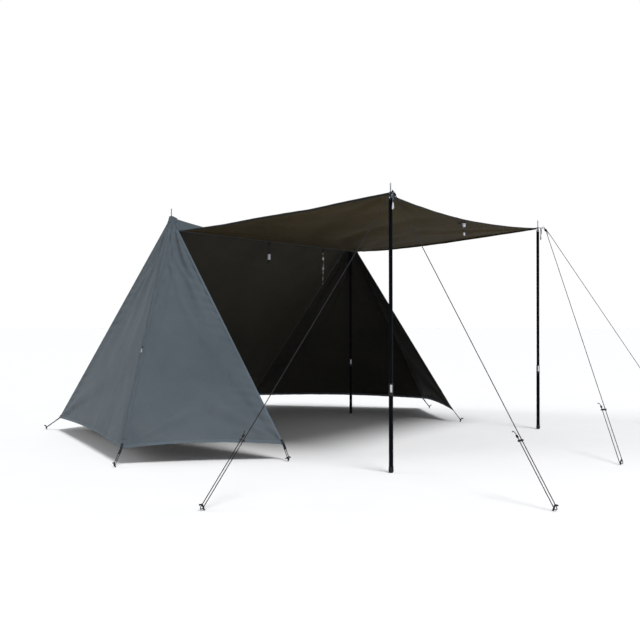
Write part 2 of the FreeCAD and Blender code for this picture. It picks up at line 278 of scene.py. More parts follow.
def sweep(shape, path, profile, ups=None, slot=0, closed=False, scale=None, twist=None):
    """Carries a closed outline of (side, up) points along a path."""
    path = np.asarray(path, float)
    outline = np.asarray(profile, float)
    tangent, side, up = frames(path, ups)
    if closed:
        tangent = unit(np.roll(path, -1, 0) - np.roll(path, 1, 0))
        side = unit(np.cross(tangent, up))
        up = np.cross(side, tangent)
    if twist is not None:
        c, s = np.cos(twist)[:, None], np.sin(twist)[:, None]
        side, up = side * c + up * s, up * c - side * s
    size = np.ones(len(path)) if scale is None else np.asarray(scale, float)
    m = len(outline)
    points = (path[:, None] + side[:, None] * (outline[None, :, 0:1] * size[:, None, None])
              + up[:, None] * (outline[None, :, 1:2] * size[:, None, None])).reshape(-1, 3)
    run = run_along(path)
    around = run_along(np.vstack([outline, outline[:1]]))
    faces, uvs = [], []
    last = len(path) if closed else len(path) - 1
    for i in range(last):
        k = (i + 1) % len(path)
        v0 = run[i]
        v1 = run[i + 1] if i + 1 < len(run) else run[-1] + length(path[0] - path[-1])
        for j in range(m):
            n = (j + 1) % m
            faces.append((i * m + j, i * m + n, k * m + n, k * m + j))
            uvs.append([(around[j], v0), (around[j + 1], v0), (around[j + 1], v1), (around[j], v1)])
    if not closed:
        end = (len(path) - 1) * m
        faces.append(tuple(reversed(range(m))))
        uvs.append([(around[j], 0.0) for j in reversed(range(m))])
        faces.append(tuple(range(end, end + m)))
        uvs.append([(around[j], run[-1]) for j in range(m)])
    shape.add(points, faces, uvs, slot)


BAND_CORNER = 0.3            # how far a band's corners are eased, as a share of its thickness


def circle(radius, sides=10):
    turn = np.arange(sides) * 2 * math.pi / sides
    return np.stack([radius * np.cos(turn), radius * np.sin(turn)], 1)


def band(width, thick):
    """A flat outline with eased corners."""
    w, t, c = width / 2, thick / 2, thick * BAND_CORNER
    return np.array([(-w + c, -t), (w - c, -t), (w, -t + c), (w, t - c), (w - c, t), (-w + c, t), (-w, t - c),
                     (-w, -t + c)])


def stitches(shape, path, normals, slot=0, pitch=STITCH_PITCH):
    """A row of thread stitches that lie on a surface along a path."""
    run = run_along(path)
    starts = np.arange(pitch / 2, run[-1] - STITCH_LENGTH, pitch)
    a, b = values_at(starts, run, path), values_at(starts + STITCH_LENGTH, run, path)
    normal = unit(values_at(starts + STITCH_LENGTH / 2, run, normals))
    way = unit(b - a)
    side = np.cross(way, normal)
    centre = (a + b) / 2 + normal * THREAD * 0.6
    ring = [centre + way_out * THREAD for way_out in (side, normal, -side, -normal)]
    points = np.stack([a] + ring + [b], 1).reshape(-1, 3)
    pattern = [(0, 2, 1), (0, 3, 2), (0, 4, 3), (0, 1, 4), (5, 1, 2), (5, 2, 3), (5, 3, 4), (5, 4, 1)]
    faces = [tuple(6 * k + i for i in face) for k in range(len(starts)) for face in pattern]
    shape.add(points, faces, [[(0.0, 0.0)] * 3] * len(faces), slot)


def fractions(count, *marks):
    """Even fractions from 0 to 1, with extra ones at the marks."""
    even = np.linspace(0, 1, count + 1)
    near = np.min(np.abs(even[:, None] - np.array(marks)[None]), 1) if marks else np.ones(len(even))
    keep = even[(near > 0.3 / count) | (even == 0) | (even == 1)]
    return np.unique(np.concatenate([keep, marks]))


def attach(shape, name, finishes, slot, body, *stands_for):
    """Builds a shape as a piece that rides on a body and stands for CAD nodes."""
    piece = shape.build(name, [MATERIALS[finish] for finish in finishes], slot)
    if stands_for:
        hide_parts(*stands_for)
    if body:
        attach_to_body(piece, body)
    return piece


# ---------------------------------------------------------------- materials
class Nodes:
    """A short way to write a material's nodes."""

    def __init__(self, name):
        self.material = bpy.data.materials.new(name)
        self.material.use_nodes = True
        self.tree = self.material.node_tree
        self.shader = self.tree.nodes["Principled BSDF"]
        self.output = self.tree.nodes["Material Output"]

    def node(self, kind, **values):
        node = self.tree.nodes.new(kind)
        for key, value in values.items():
            if key in node.inputs:
                self.put(node.inputs[key], value)
            else:
                setattr(node, key, value)
        return node

    def put(self, socket, value):
        if isinstance(value, bpy.types.NodeSocket):
            self.tree.links.new(value, socket)
        else:
            socket.default_value = value

    def set(self, **values):
        for key, value in values.items():
            self.put(self.shader.inputs[key.replace("_", " ")], value)

    def coords(self, kind, scale=(1, 1, 1), turn=(0, 0, 0)):
        source = self.node("ShaderNodeTexCoord").outputs[kind]
        return self.node("ShaderNodeMapping", Vector=source, Scale=scale, Rotation=turn).outputs[0]

    def noise(self, where, scale, detail=3.0, rough=0.5):
        texture = self.node("ShaderNodeTexNoise", Vector=where, Scale=scale, Detail=detail, Roughness=rough)
        return texture.outputs[0]

    def wave(self, where, scale, direction="X", distortion=0.0):
        return self.node("ShaderNodeTexWave", Vector=where, Scale=scale, bands_direction=direction,
                         Distortion=distortion).outputs["Fac"]

    def math(self, operation, a, b=0.0):
        node = self.tree.nodes.new("ShaderNodeMath")
        node.operation = operation
        self.put(node.inputs[0], a)
        self.put(node.inputs[1], b)
        return node.outputs[0]

    def spread(self, value, low, high, to_low=0.0, to_high=1.0):
        limits = {"From Min": low, "From Max": high, "To Min": to_low, "To Max": to_high}
        return self.node("ShaderNodeMapRange", Value=value, **limits).outputs[0]

    def blend(self, factor, a, b, mode="MIX"):
        node = self.tree.nodes.new("ShaderNodeMix")
        node.data_type = "RGBA"
        node.blend_type = mode
        self.put(node.inputs[0], factor)
        self.put(node.inputs[6], a)
        self.put(node.inputs[7], b)
        return node.outputs[2]

    def bump(self, height, distance, strength=1.0, after=None):
        values = {"Height": height, "Distance": distance, "Strength": strength}
        if after is not None:
            values["Normal"] = after
        return self.node("ShaderNodeBump", **values).outputs[0]


def rgb(red, green, blue):
    return (red, green, blue, 1.0)


def weave_height(n, where, pitch):
    """Plain weave: threads one way rise where the threads the other way sink."""
    turns = 1.0 / (2 * pitch)
    one = n.wave(where, turns, "X")
    other = n.wave(where, turns, "Y")
    return n.math("ADD", n.math("MULTIPLY", one, 0.5), n.math("MULTIPLY", other, 0.5))


def canvas(name, colour, light, roughness=0.85, through=0.0, through_colour=None, pitch=0.0011, dusty=0.0,
           gloss=0.16):
    """Cotton-blend canvas: weave, slubs, cloudy shade changes, crumples, and dust on what hangs low."""
    n = Nodes(name)
    cloth = n.coords("UV")
    place = n.coords("Object")
    cloud = n.noise(place, 2.4, 6.0, 0.6)
    slub = n.noise(n.coords("UV", (1.0, 30.0, 1.0)), 40.0, 3.0)
    slub_across = n.noise(n.coords("UV", (30.0, 1.0, 1.0)), 40.0, 3.0)
    grain = n.noise(cloth, 700.0, 2.0)
    shade = n.blend(n.spread(cloud, 0.32, 0.68), rgb(*colour), rgb(*light))
    threads = n.math("MULTIPLY", n.math("ADD", slub, slub_across), 0.5)
    shade = n.blend(n.spread(threads, 0.42, 0.62, 0.0, 0.30), shade, rgb(*[c * 1.3 for c in light]))
    shade = n.blend(n.spread(grain, 0.3, 0.7, 0.0, 0.22), shade, rgb(*[c * 0.55 for c in colour]))
    if dusty:
        height = separate_z(n, place)
        patchy = n.noise(place, 7.0, 5.0, 0.6)
        dust = n.math("MULTIPLY", n.spread(height, 0.42, 0.10, 0.0, dusty), n.spread(patchy, 0.38, 0.62))
        shade = n.blend(dust, shade, rgb(0.17, 0.165, 0.15))
    n.set(Base_Color=shade, Roughness=n.spread(threads, 0.3, 0.7, roughness - 0.06, roughness + 0.08),
          Specular_IOR_Level=gloss, Sheen_Weight=gloss / 4, Sheen_Roughness=0.45)
    weave = n.bump(weave_height(n, cloth, pitch), 0.00025, 0.6)
    crumple = n.bump(n.noise(place, 17.0, 6.0, 0.60), 0.0040, 0.40, weave)
    # creases left by packing: thin ridges along the borders of large cells
    cells = n.node("ShaderNodeTexVoronoi", Vector=n.coords("Object", (1.0, 1.0, 0.7)), Scale=3.6,
                   feature="DISTANCE_TO_EDGE").outputs["Distance"]
    soft = n.bump(n.spread(cells, 0.0, 0.035), 0.0022, 0.35, crumple)
    n.set(Normal=n.bump(threads, 0.0003, 0.5, soft))
    if through:
        glow = n.node("ShaderNodeBsdfTranslucent", Color=rgb(*through_colour), Normal=soft).outputs[0]
        both = n.node("ShaderNodeMixShader", Fac=through)
        n.tree.links.new(n.shader.outputs[0], both.inputs[1])
        n.tree.links.new(glow, both.inputs[2])
        n.tree.links.new(both.outputs[0], n.output.inputs[0])
    return n.material


def separate_z(n, where):
    return n.node("ShaderNodeSeparateXYZ", Vector=where).outputs[2]


def webbing(name, colour, light, rib=0.0022):
    """Flat woven tape: chevrons across the width and a denser edge."""
    n = Nodes(name)
    cloth = n.coords("UV")
    ribs = n.wave(n.coords("UV", turn=(0, 0, math.radians(38))), 1 / rib, "Y", 0.4)
    back = n.wave(n.coords("UV", turn=(0, 0, math.radians(-38))), 1 / rib, "Y", 0.4)
    twill = n.math("MULTIPLY", n.math("ADD", ribs, back), 0.5)
    fuzz = n.noise(cloth, 700.0, 3.0)
    shade = n.blend(n.spread(twill, 0.2, 0.8), rgb(*colour), rgb(*light))
    shade = n.blend(n.spread(fuzz, 0.4, 0.75, 0.0, 0.3), shade, rgb(*[c * 1.5 for c in light]))
    n.set(Base_Color=shade, Roughness=0.75, Specular_IOR_Level=0.2, Sheen_Weight=0.06)
    n.set(Normal=n.bump(twill, 0.0005, 0.9, n.bump(fuzz, 0.0002, 0.4)))
    return n.material


def cord_material(name, colour, light):
    """A braided sheath: two sets of strands that cross round the cord."""
    n = Nodes(name)
    round_turn = 2 * math.pi * CORD
    left = n.wave(n.coords("UV", (3 / round_turn, 170.0, 1), (0, 0, 0)), 0.31, "DIAGONAL")
    right = n.wave(n.coords("UV", (-3 / round_turn, 170.0, 1), (0, 0, 0)), 0.31, "DIAGONAL")
    braid = n.math("MAXIMUM", left, right)
    fuzz = n.noise(n.coords("UV"), 1500.0, 2.0)
    shade = n.blend(n.spread(braid, 0.3, 1.0), rgb(*colour), rgb(*light))
    n.set(Base_Color=shade, Roughness=0.62, Specular_IOR_Level=0.2)
    n.set(Normal=n.bump(braid, 0.0006, 0.8, n.bump(fuzz, 0.0002, 0.4)))
    return n.material


def coated_metal(name, colour, light, roughness, metallic=0.0, brushed=0.0, gloss=0.5):
    """Metal or plastic with wear: fine scratches, cloudy gloss and rubbed high spots."""
    n = Nodes(name)
    place = n.coords("Object")
    cloud = n.noise(place, 14.0, 4.0)
    scratch = n.noise(n.coords("Object", (1, 1, 0.05) if brushed == 0 else (1, 1, 12.0)), 900.0, 2.0)
    fine = n.noise(place, 2400.0, 2.0)
    shade = n.blend(n.spread(cloud, 0.35, 0.7, 0.0, 0.6), rgb(*colour), rgb(*light))
    rubbed = rgb(*[min(1.0, c * 2.2 + 0.01) for c in light])
    shade = n.blend(n.spread(scratch, 0.66, 0.74, 0.0, 0.35), shade, rubbed)
    n.set(Base_Color=shade, Metallic=metallic, Specular_IOR_Level=gloss,
          Roughness=n.math("ADD", n.spread(cloud, 0.3, 0.7, roughness - 0.05, roughness + 0.08),
                           n.spread(scratch, 0.6, 0.8, 0.0, 0.12)))
    n.set(Normal=n.bump(fine, 0.00008, 0.5, n.bump(scratch, 0.0001, 0.35 + brushed)))
    return n.material


def moulded(name, colour, light, roughness, grain=0.0002):
    """Moulded plastic or rubber: a fine leathery grain and dust in the low spots."""
    n = Nodes(name)
    place = n.coords("Object")
    cells = n.node("ShaderNodeTexVoronoi", Vector=place, Scale=900.0).outputs["Distance"]
    cloud = n.noise(place, 30.0, 4.0)
    dust = n.noise(place, 160.0, 4.0)
    shade = n.blend(n.spread(cloud, 0.3, 0.7), rgb(*colour), rgb(*light))
    shade = n.blend(n.spread(dust, 0.55, 0.75, 0.0, 0.25), shade, rgb(0.16, 0.15, 0.14))
    n.set(Base_Color=shade, Roughness=n.spread(cloud, 0.3, 0.7, roughness - 0.06, roughness + 0.08),
          Specular_IOR_Level=0.25)
    n.set(Normal=n.bump(cells, grain, 0.5))
    return n.material


SLATE = (0.066, 0.083, 0.096)
SLATE_LIGHT = (0.088, 0.108, 0.124)
BROWN = (0.0345, 0.0262, 0.0122)
BROWN_LIGHT = (0.0520, 0.0392, 0.0186)
# Painted shade: the roof's inner face is the same brown lining as the awning's underside, darkened and greyed for
# the shade inside the tent.
INSIDE_PAINTED_SHADE = (0.020, 0.0185, 0.0135)
INSIDE_PAINTED_SHADE_LIGHT = (0.030, 0.0275, 0.0200)
# Painted shade: SHADED is the same lining darker still, for the inner faces of the end walls, which lie deeper in
# shade.
SHADED = (0.0180, 0.0172, 0.0140)
SHADED_LIGHT = (0.0275, 0.0262, 0.0215)

MATERIALS = {
    "outside": canvas("canvas_outside", SLATE, SLATE_LIGHT, dusty=0.14),
    # the roof's inner face, in the lining darkened as painted shade
    "inside": canvas("canvas_inside_painted_shade", INSIDE_PAINTED_SHADE, INSIDE_PAINTED_SHADE_LIGHT),
    # the end walls' inner faces, in the lining darkened further as painted shade
    "inside_end_painted_shade": canvas("canvas_inside_end_painted_shade", SHADED, SHADED_LIGHT),
    "awning_top": canvas("awning_top", SLATE, SLATE_LIGHT),
    "awning_under": canvas("awning_under", BROWN, BROWN_LIGHT, through=0.10, gloss=0.05,
                           through_colour=(0.105, 0.074, 0.032)),
    "hem": canvas("canvas_hem", (0.078, 0.099, 0.119), (0.103, 0.128, 0.152), dusty=0.12),
    "binding": webbing("edge_binding", (0.003, 0.003, 0.003), (0.007, 0.0068, 0.0065)),
    "seam_tape": canvas("seam_tape", (0.050, 0.063, 0.073), (0.068, 0.084, 0.097)),
    "piping": canvas("seam_piping", (0.058, 0.074, 0.087), (0.080, 0.100, 0.117)),
    "patch": canvas("reinforcement", (0.064, 0.081, 0.094), (0.086, 0.106, 0.121), pitch=0.0016),
    "webbing": webbing("webbing_black", (0.005, 0.005, 0.006), (0.016, 0.016, 0.018)),
    "webbing_slate": webbing("webbing_slate", (0.045, 0.062, 0.085), (0.10, 0.13, 0.17)),
    "tag": webbing("webbing_pale", (0.36, 0.38, 0.44), (0.58, 0.60, 0.66)),
    "olive": webbing("webbing_olive", (0.10, 0.095, 0.07), (0.20, 0.19, 0.145)),
    "thread": webbing("thread", (0.09, 0.11, 0.13), (0.14, 0.17, 0.20)),
    "dark_thread": webbing("thread_dark", (0.01, 0.01, 0.01), (0.02, 0.02, 0.02)),
    "cord": cord_material("cord_black", (0.0035, 0.0035, 0.005), (0.014, 0.015, 0.020)),
    # Painted highlight: the zip's tape and coil are lighter than the canvas, to stand for the light fold line down
    # the seam and to offset the shade between welt and coil.
    "tape": webbing("zip_tape_weave_painted_highlight", (0.090, 0.109, 0.125), (0.120, 0.143, 0.163), 0.0014),
    "coil": moulded("zip_coil_painted_highlight", (0.120, 0.140, 0.156), (0.160, 0.185, 0.205), 0.35),
    "slider": coated_metal("zip_slider_metal", (0.03, 0.03, 0.032), (0.05, 0.05, 0.055), 0.35, 0.8),
    "pole": coated_metal("pole_black", (0.0014, 0.0022, 0.0034), (0.0026, 0.0040, 0.0064), 0.34, gloss=0.03),
    "collar": moulded("collar_plastic", (0.006, 0.006, 0.007), (0.012, 0.012, 0.013), 0.5),
    "rubber": moulded("foot_rubber", (0.006, 0.006, 0.006), (0.012, 0.012, 0.012), 0.72, 0.0003),
    "steel": coated_metal("spike_steel_brushed", (0.38, 0.40, 0.43), (0.52, 0.54, 0.57), 0.3, 1.0, 0.4),
    "eyelet": coated_metal("eyelet_metal", (0.10, 0.11, 0.125), (0.17, 0.185, 0.21), 0.38, 1.0, 0.2),
    "tensioner": moulded("tensioner_plastic", (0.008, 0.008, 0.009), (0.016, 0.016, 0.018), 0.45),
    "peg": coated_metal("peg_black_steel", (0.012, 0.012, 0.014), (0.026, 0.026, 0.030), 0.45, 0.5,
                        gloss=0.3),
    "mark": moulded("pale_print", (0.42, 0.43, 0.46), (0.58, 0.59, 0.62), 0.55),
}


# ---------------------------------------------------------------- main points of the tent
SPAN = MOUNTS["far_ridge_pole_foot"][1]
MIDDLE = SPAN / 2
POLE_X = MOUNTS["near_awning_pole_foot"][0]
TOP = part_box("near_apex_cap")[1].z - CAP_ABOVE
SEAM = np.array(JOINTS["awning_tilt"]["pos_m"], float)
HEM_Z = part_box("back_wall")[0].z
BACK_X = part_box("back_wall")[0].x
FRONT_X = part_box("near_end_front_panel")[1].x
FLARE = -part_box("back_wall")[0].y + CORNER_GAP
END_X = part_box("near_end_back_panel")[1].x
END_Y = -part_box("near_end_back_panel")[0].y
PANEL_ANGLE = math.atan2(TOP - SEAM[2], POLE_X - SEAM[0])
PANEL_WAY = vec(math.cos(PANEL_ANGLE), 0, math.sin(PANEL_ANGLE))
PANEL_UP = vec(-math.sin(PANEL_ANGLE), 0, math.cos(PANEL_ANGLE))
PANEL_LENGTH = (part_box("front_panel")[1].x - SEAM[0]) / math.cos(PANEL_ANGLE)


def outside(side, distance):
    """The Y of a point this far outside a ridge pole."""
    return MIDDLE + SIDES[side] * (MIDDLE + distance)


def apex(side):
    return vec(0, outside(side, 0), TOP)


def corner(side, place):
    spot = {"back": (BACK_X, FLARE), "end": (END_X, END_Y), "front": (FRONT_X, FLARE)}[place]
    return vec(spot[0], outside(side, spot[1]), HEM_Z)


def ridge_point(y):
    return np.stack([np.zeros_like(y), y, TOP - RIDGE_SAG * arch(y / SPAN)], -1)


def seam_end(side):
    """Where the awning seam meets the front edge of an end wall."""
    a, b = apex(side), corner(side, "front")
    return mix(a, b, (a[2] - SEAM[2]) / (a[2] - b[2]))


# Round a pole's top the cloth is held out by the cap, so it clears the pole's cone.
HOLD_OUT = 0.0085
HOLD_UP = 0.0015
HOLD_REACH = 0.075


def hold_over_poles(points, inward=0.0):
    """Pushes points near an apex out round the pole; inward is the Y direction for a point on its axis."""
    points = points.copy()
    for side in SIDES:
        top = apex(side)
        away = points - top
        flat = away * vec(1, 1, 0)
        reach = length(flat)
        flat[reach < 1e-5] = vec(0, -inward * SIDES[side], 0)
        strength = (1 - ease(length(away) / HOLD_REACH))[..., None]
        points += unit(flat) * strength * HOLD_OUT + UP * strength * HOLD_UP
    return points


def corner_folds(points, at, toward, normal, size, reach, count, seed):
    """Height of the folds that fan out from a loaded corner; size is the height at the reach."""
    random = np.random.default_rng(seed)
    toward = square_to(toward, normal)
    away = points - at
    angle = np.arctan2(away @ np.cross(normal, toward), away @ toward)
    distance = length(away)
    wave = np.zeros(points.shape[:-1])
    for k in range(3):
        turns = count * (1 + 0.55 * k) * random.uniform(0.85, 1.15)
        curl = random.uniform(-1.2, 1.2)
        wave += np.sin(turns * angle + random.uniform(0, 2 * math.pi) + curl * distance) / (1 + 0.8 * k)
    # folds come to a soft crest: broad valleys between narrower ridges
    wave = np.exp(1.5 * np.tanh(wave / 1.3)) / 3 - 0.5
    share = distance / reach
    return size * share ** 1.2 * np.exp(1.2 * (1 - share)) * wave


def puckers(points, a, b, size, seed, reach, pitch, slant=0.8):
    """Height of the short slanting puckers that a sewn seam gathers beside itself."""
    random = np.random.default_rng(seed)
    way = unit(b - a)
    along = (points - a) @ way
    aside = line_distance(points, a, b)
    phase = along / pitch * 2 * math.pi + slant * aside / pitch * 2 * math.pi
    wander = sum(random.uniform(0.6, 1.6) * np.sin(along * random.uniform(3, 11) + random.uniform(0, 6))
                 for _ in range(4))
    strength = 0.35 + 0.65 * ease(0.5 + 0.6 * np.sin(along * random.uniform(4, 7) + random.uniform(0, 6)))
    near = ease(aside / 0.012) * np.exp(-aside / reach)
    return size * strength * near * np.sin(phase + wander)


def long_folds(points, a, b, normal, size, seed, places, width=0.011, reach=0.5):
    """Height of long folds that leave a and run beside the line to b, fading with distance."""
    random = np.random.default_rng(seed)
    way = unit(b - a)
    aside_way = unit(np.cross(normal, way))
    along = (points - a) @ way
    aside = (points - a) @ aside_way
    out = np.zeros(points.shape[:-1])
    for place in places:
        drift = place * ease(along / (0.45 * reach)) * (1 + 0.12 * np.sin(along * 7 + random.uniform(0, 6)))
        wide = width * (0.35 + along / reach)
        fade = ease(along / 0.06) * np.exp(-(along / reach) ** 2)
        out += random.uniform(0.6, 1.1) * fade * np.exp(-((aside - drift) / np.maximum(wide, 0.003)) ** 2)
    return size * out


def ripples(points, way, step, size, seed, width=0.012):
    """Faint packing creases at an uneven spacing along a direction."""
    random = np.random.default_rng(seed)
    along = points @ way
    low, high = along.min(), along.max()
    out = np.zeros(points.shape[:-1])
    at = low + random.uniform(0.3, 0.8) * step
    while at < high:
        out += random.uniform(0.4, 1.0) * random.choice([-1, 1]) * np.exp(-((along - at) / width) ** 2)
        at += step * random.uniform(0.8, 1.2)
    return size * out


# ---------------------------------------------------------------- the roof: back wall and ridge strip
ROOF_SLACK = 0.022           # how far the back wall hangs in between its edges
ROOF_COLUMNS = fractions(190)
BACK_ROWS = np.concatenate([np.linspace(0, 0.985, 130), [0.99, 0.994, 0.997, 1.0]])
STRIP_ROWS = np.array([0.03, 0.08, 0.15, 0.27, 0.4, 0.55, 0.7, 0.82, 0.92, 0.975])
FOLD_EDGE = 0.03             # cloth nearer a seam than this lies ever flatter


def roof_grid():
    share = ROOF_COLUMNS
    top_y = SPAN * share
    ridge = ridge_point(top_y)
    low_y = MIDDLE + (MIDDLE + FLARE) * (2 * share - 1)
    low = np.stack([np.full_like(share, BACK_X), low_y, np.full_like(share, HEM_Z)], -1)
    low += unit(ridge - low) * (HEM_RISE * arch(share))[:, None]
    back = mix(low[None], ridge[None], BACK_ROWS[:, None, None])
    ends = [seam_end("near"), seam_end("far")]
    seam = mix(ends[0][None], ends[1][None], share[:, None])
    strip = mix(ridge[None], seam[None], STRIP_ROWS[:, None, None])
    normal = unit(vec(-(TOP - HEM_Z), 0, -BACK_X))
    height = np.zeros(back.shape[:-1])
    for k, side in enumerate(SIDES):
        at, top = corner(side, "back"), apex(side)
        inward = -SIDES[side]
        height += corner_folds(back, at, vec(0.9, inward * 0.8, 1.0), normal,
                               size=0.0120, reach=0.32, count=8, seed=20 + k)
        height += corner_folds(back, top, vec(-0.8, inward * 0.9, -1.0), normal,
                               size=0.0110, reach=0.38, count=8, seed=30 + k)
        height += puckers(back, top, at, size=0.0050, seed=34 + k, reach=0.060, pitch=0.090)
    height += puckers(back, corner("near", "back"), corner("far", "back"),
                      size=0.0054, seed=38, reach=0.06, pitch=0.120, slant=0.3)
    height += puckers(back, apex("near"), apex("far"),
                      size=0.0030, seed=39, reach=0.10, pitch=0.170, slant=0.2)
    rise, run = BACK_ROWS[:, None], share[None]
    height -= ROOF_SLACK * np.sin(math.pi * rise) * arch(run)
    height += ripples(back, Y, step=0.37, size=0.0012, seed=40)
    height += ripples(back, unit(vec(1, 0, 1.2)), step=0.42, size=0.0012, seed=41)
    edge = np.minimum(line_distance(back, apex("near"), corner("near", "back")),
                      line_distance(back, apex("far"), corner("far", "back")))
    slope = length(ridge - low)[None]
    edge = np.minimum(edge, (1 - rise) * slope)
    calm = ease(edge / FOLD_EDGE) * (0.4 + 0.6 * ease(rise * slope / 0.05))
    back = back + normal * (height * calm)[..., None]
    grid = np.concatenate([back, strip])
    ridge_row = len(BACK_ROWS) - 1
    inner = grid[:, 1:-1]
    below, at, above = (slice(ridge_row - 4 + k, ridge_row + 4 + k) for k in (-1, 0, 1))
    for _ in range(3):
        inner[at] = (inner[below] + 2 * inner[at] + inner[above]) / 4
    return hold_over_poles(grid, inward=1.0)


def grid_uv(grid):
    """Cloth coordinates in metres, measured along the middle row and the middle column."""
    down = run_along(grid[:, grid.shape[1] // 2])
    across = run_along(grid[grid.shape[0] // 2])
    return np.stack(np.meshgrid(across, down), -1)


def roof_uv(grid):
    down = run_along(grid[:, grid.shape[1] // 2])
    return np.stack([grid[..., 1], np.repeat(down[:, None], grid.shape[1], 1)], -1)


def hem(shape, grid, normals, edge, width=HEM_WIDTH):
    """A folded hem wrapped round one edge of a grid, with two rows of stitches on both faces."""
    lines = {"first_row": (grid[0], grid[1], normals[0]), "last_row": (grid[-1], grid[-2], normals[-1]),
             "first_column": (grid[:, 0], grid[:, 1], normals[:, 0]),
             "last_column": (grid[:, -1], grid[:, -2], normals[:, -1])}
    path, inner, up = lines[edge]
    inward = square_to(square_to(inner - path, unit(np.gradient(path, axis=0))), up)
    sweep(shape, path + inward * (width / 2 - HEM_BEYOND), band(width, HEM_THICK), ups=up)
    for share in HEM_STITCH_ROWS:
        for face in (1, -1):
            stitches(shape, path + inward * width * share + up * face * HEM_THICK / 2, up * face, slot=1)


def make_roof():
    shape = Shape()
    grid = roof_grid()
    normals = sheet(shape, grid, roof_uv(grid))
    # its inner face takes the lining darkened as painted shade
    attach(shape, "roof_sheet", ("outside", "inside"), "tent_fabric", "tent_base", "back_wall", "ridge_strip")
    hems = Shape()
    hem(hems, grid, normals, "first_row")
    attach(hems, "back_hem", ("hem", "thread"), "tent_fabric", "tent_base")


# ---------------------------------------------------------------- the end walls
END_ROWS = np.concatenate([[0.0, 0.004, 0.010, 0.018, 0.028, 0.040], np.linspace(0.050, 0.975, 128),
                           [0.983, 0.992, 1.0]])
PANEL_COLUMNS = np.concatenate([[0.0, 0.010, 0.024], np.linspace(0.040, 0.960, 62), [0.976, 0.990]])
END_SLACK = 0.026            # how far an end panel hangs in between its edges
POLE_CLEAR = 0.0008          # how near an end wall's first row comes to the pole's axis
FRONT_HEM_WIDTH = 0.016
FRONT_HEM_START = 0.06       # share of the way down at which the front hem starts


def end_grid(side):
    """Both panels of an end wall as one sheet, from round the pole's top down to the hem."""
    top = apex(side)
    back, end, front = (corner(side, place) for place in ("back", "end", "front"))
    columns = []
    for a, b, edges in ((back, end, PANEL_COLUMNS), (end, front, PANEL_COLUMNS), (end, front, [1.0])):
        for f in edges:
            low = mix(a, b, f)
            low = low + unit(top - low) * HEM_RISE * arch(f)
            columns.append(low)
    low = np.array(columns)
    start = POLE_CLEAR / length((low - top)[:, :2])
    down = start[None, :] + (1 - start[None, :]) * END_ROWS[:, None]
    grid = top + (low - top)[None] * down[..., None]
    half = len(PANEL_COLUMNS)
    out = grid.copy()
    for k, (a, b, cut) in enumerate(((back, end, slice(0, half + 1)), (end, front, slice(half, None)))):
        normal = unit(np.cross(a - top, b - top)) * -SIDES[side]
        part = grid[:, cut]
        seed = 50 + 10 * k + (5 if side == "far" else 0)
        outer = a if k == 0 else b
        lean = 1 if (k == 0) == (side == "near") else -1
        height = corner_folds(part, top, (a + b) / 2 - top, normal,
                              size=0.0105, reach=0.44, count=13, seed=seed)
        height += corner_folds(part, a, mix(b, top, 0.45) - a, normal,
                               size=0.0145, reach=0.30, count=9, seed=seed + 1)
        height += corner_folds(part, b, mix(a, top, 0.45) - b, normal,
                               size=0.0160, reach=0.32, count=9, seed=seed + 2)
        height += long_folds(part, top, outer, normal, size=0.0100, seed=seed + 6,
                             places=[lean * v for v in (0.045, 0.100, 0.170)], width=0.018, reach=0.80)
        height += long_folds(part, top, end, normal, size=0.0080, seed=seed + 7,
                             places=[-lean * v for v in (0.030, 0.085)], width=0.015, reach=0.9)
        height += puckers(part, top, outer, size=0.0062, seed=seed + 8, reach=0.060, pitch=0.085)
        height += puckers(part, top, end, size=0.0072, seed=seed + 9, reach=0.060, pitch=0.110, slant=1.1)
        height += puckers(part, a, b, size=0.0066, seed=seed + 5, reach=0.075, pitch=0.120, slant=0.35)
        down_share = END_ROWS[:, None]
        across_share = np.linspace(0, 1, part.shape[1])[None]
        height -= END_SLACK * np.sin(math.pi * down_share) * arch(across_share)
        height += ripples(part, unit(b - a), step=0.34, size=0.0016, seed=seed + 3)
        height += ripples(part, UP, step=0.31, size=0.0016, seed=seed + 4)
        edge = np.minimum(line_distance(part, top, a), line_distance(part, top, b))
        to_hem = (1 - down_share) * length(low[cut] - top)[None]
        calm = ease(edge / FOLD_EDGE) * (0.4 + 0.6 * ease(to_hem / 0.05))
        out[:, cut] += normal * (height * calm)[..., None]
    out = hold_over_poles(out, inward=-1.0)
    return out if side == "near" else out[:, ::-1]


def make_end(side):
    shape = Shape()
    grid = end_grid(side)
    middle = corner(side, "end")
    charts = []
    for place in ("back", "front"):
        across = unit((corner(side, place) - middle) * (1 if place == "front" else -1))
        charts.append(flat_uv(grid, across, square_to(middle - apex(side), across)))
    if side == "far":
        charts.reverse()
    normals = sheet(shape, grid, charts[0], second_uv=charts[1], split=len(PANEL_COLUMNS))
    # the inner face takes the end walls' painted shade
    attach(shape, f"{side}_end_sheet", ("outside", "inside_end_painted_shade"), "tent_fabric", "tent_base",
          f"{side}_end_back_panel", f"{side}_end_front_panel")
    hems = Shape()
    hem(hems, grid, normals, "last_row")
    front = "last_column" if side == "near" else "first_column"
    start = int(np.searchsorted(END_ROWS, FRONT_HEM_START))
    hem(hems, grid[start:], normals[start:], front, width=FRONT_HEM_WIDTH)
    attach(hems, f"{side}_end_hems", ("hem", "thread"), "tent_fabric", "tent_base")


# ---------------------------------------------------------------- the awning
AWNING_ROWS = fractions(88, 0.004, 0.012, 0.024)
AWNING_COLUMNS = fractions(120)
CORNER_REACH = 0.0145        # how far the front corners reach past the CAD sheet, towards the spikes
DRAPE_CAP = 0.030            # how far the cloth simulation may move a point
DRAPE_FRAMES = 26
EDGE_SAG = 0.016             # how far the side edges hang between seam and corner
SIDE_BINDING = 0.0135        # height of the rolled edge down each side
FRONT_BINDING = 0.0100       # and along the front
BINDING_TAPER = 0.22         # length over which a side's rolled edge grows from the seam


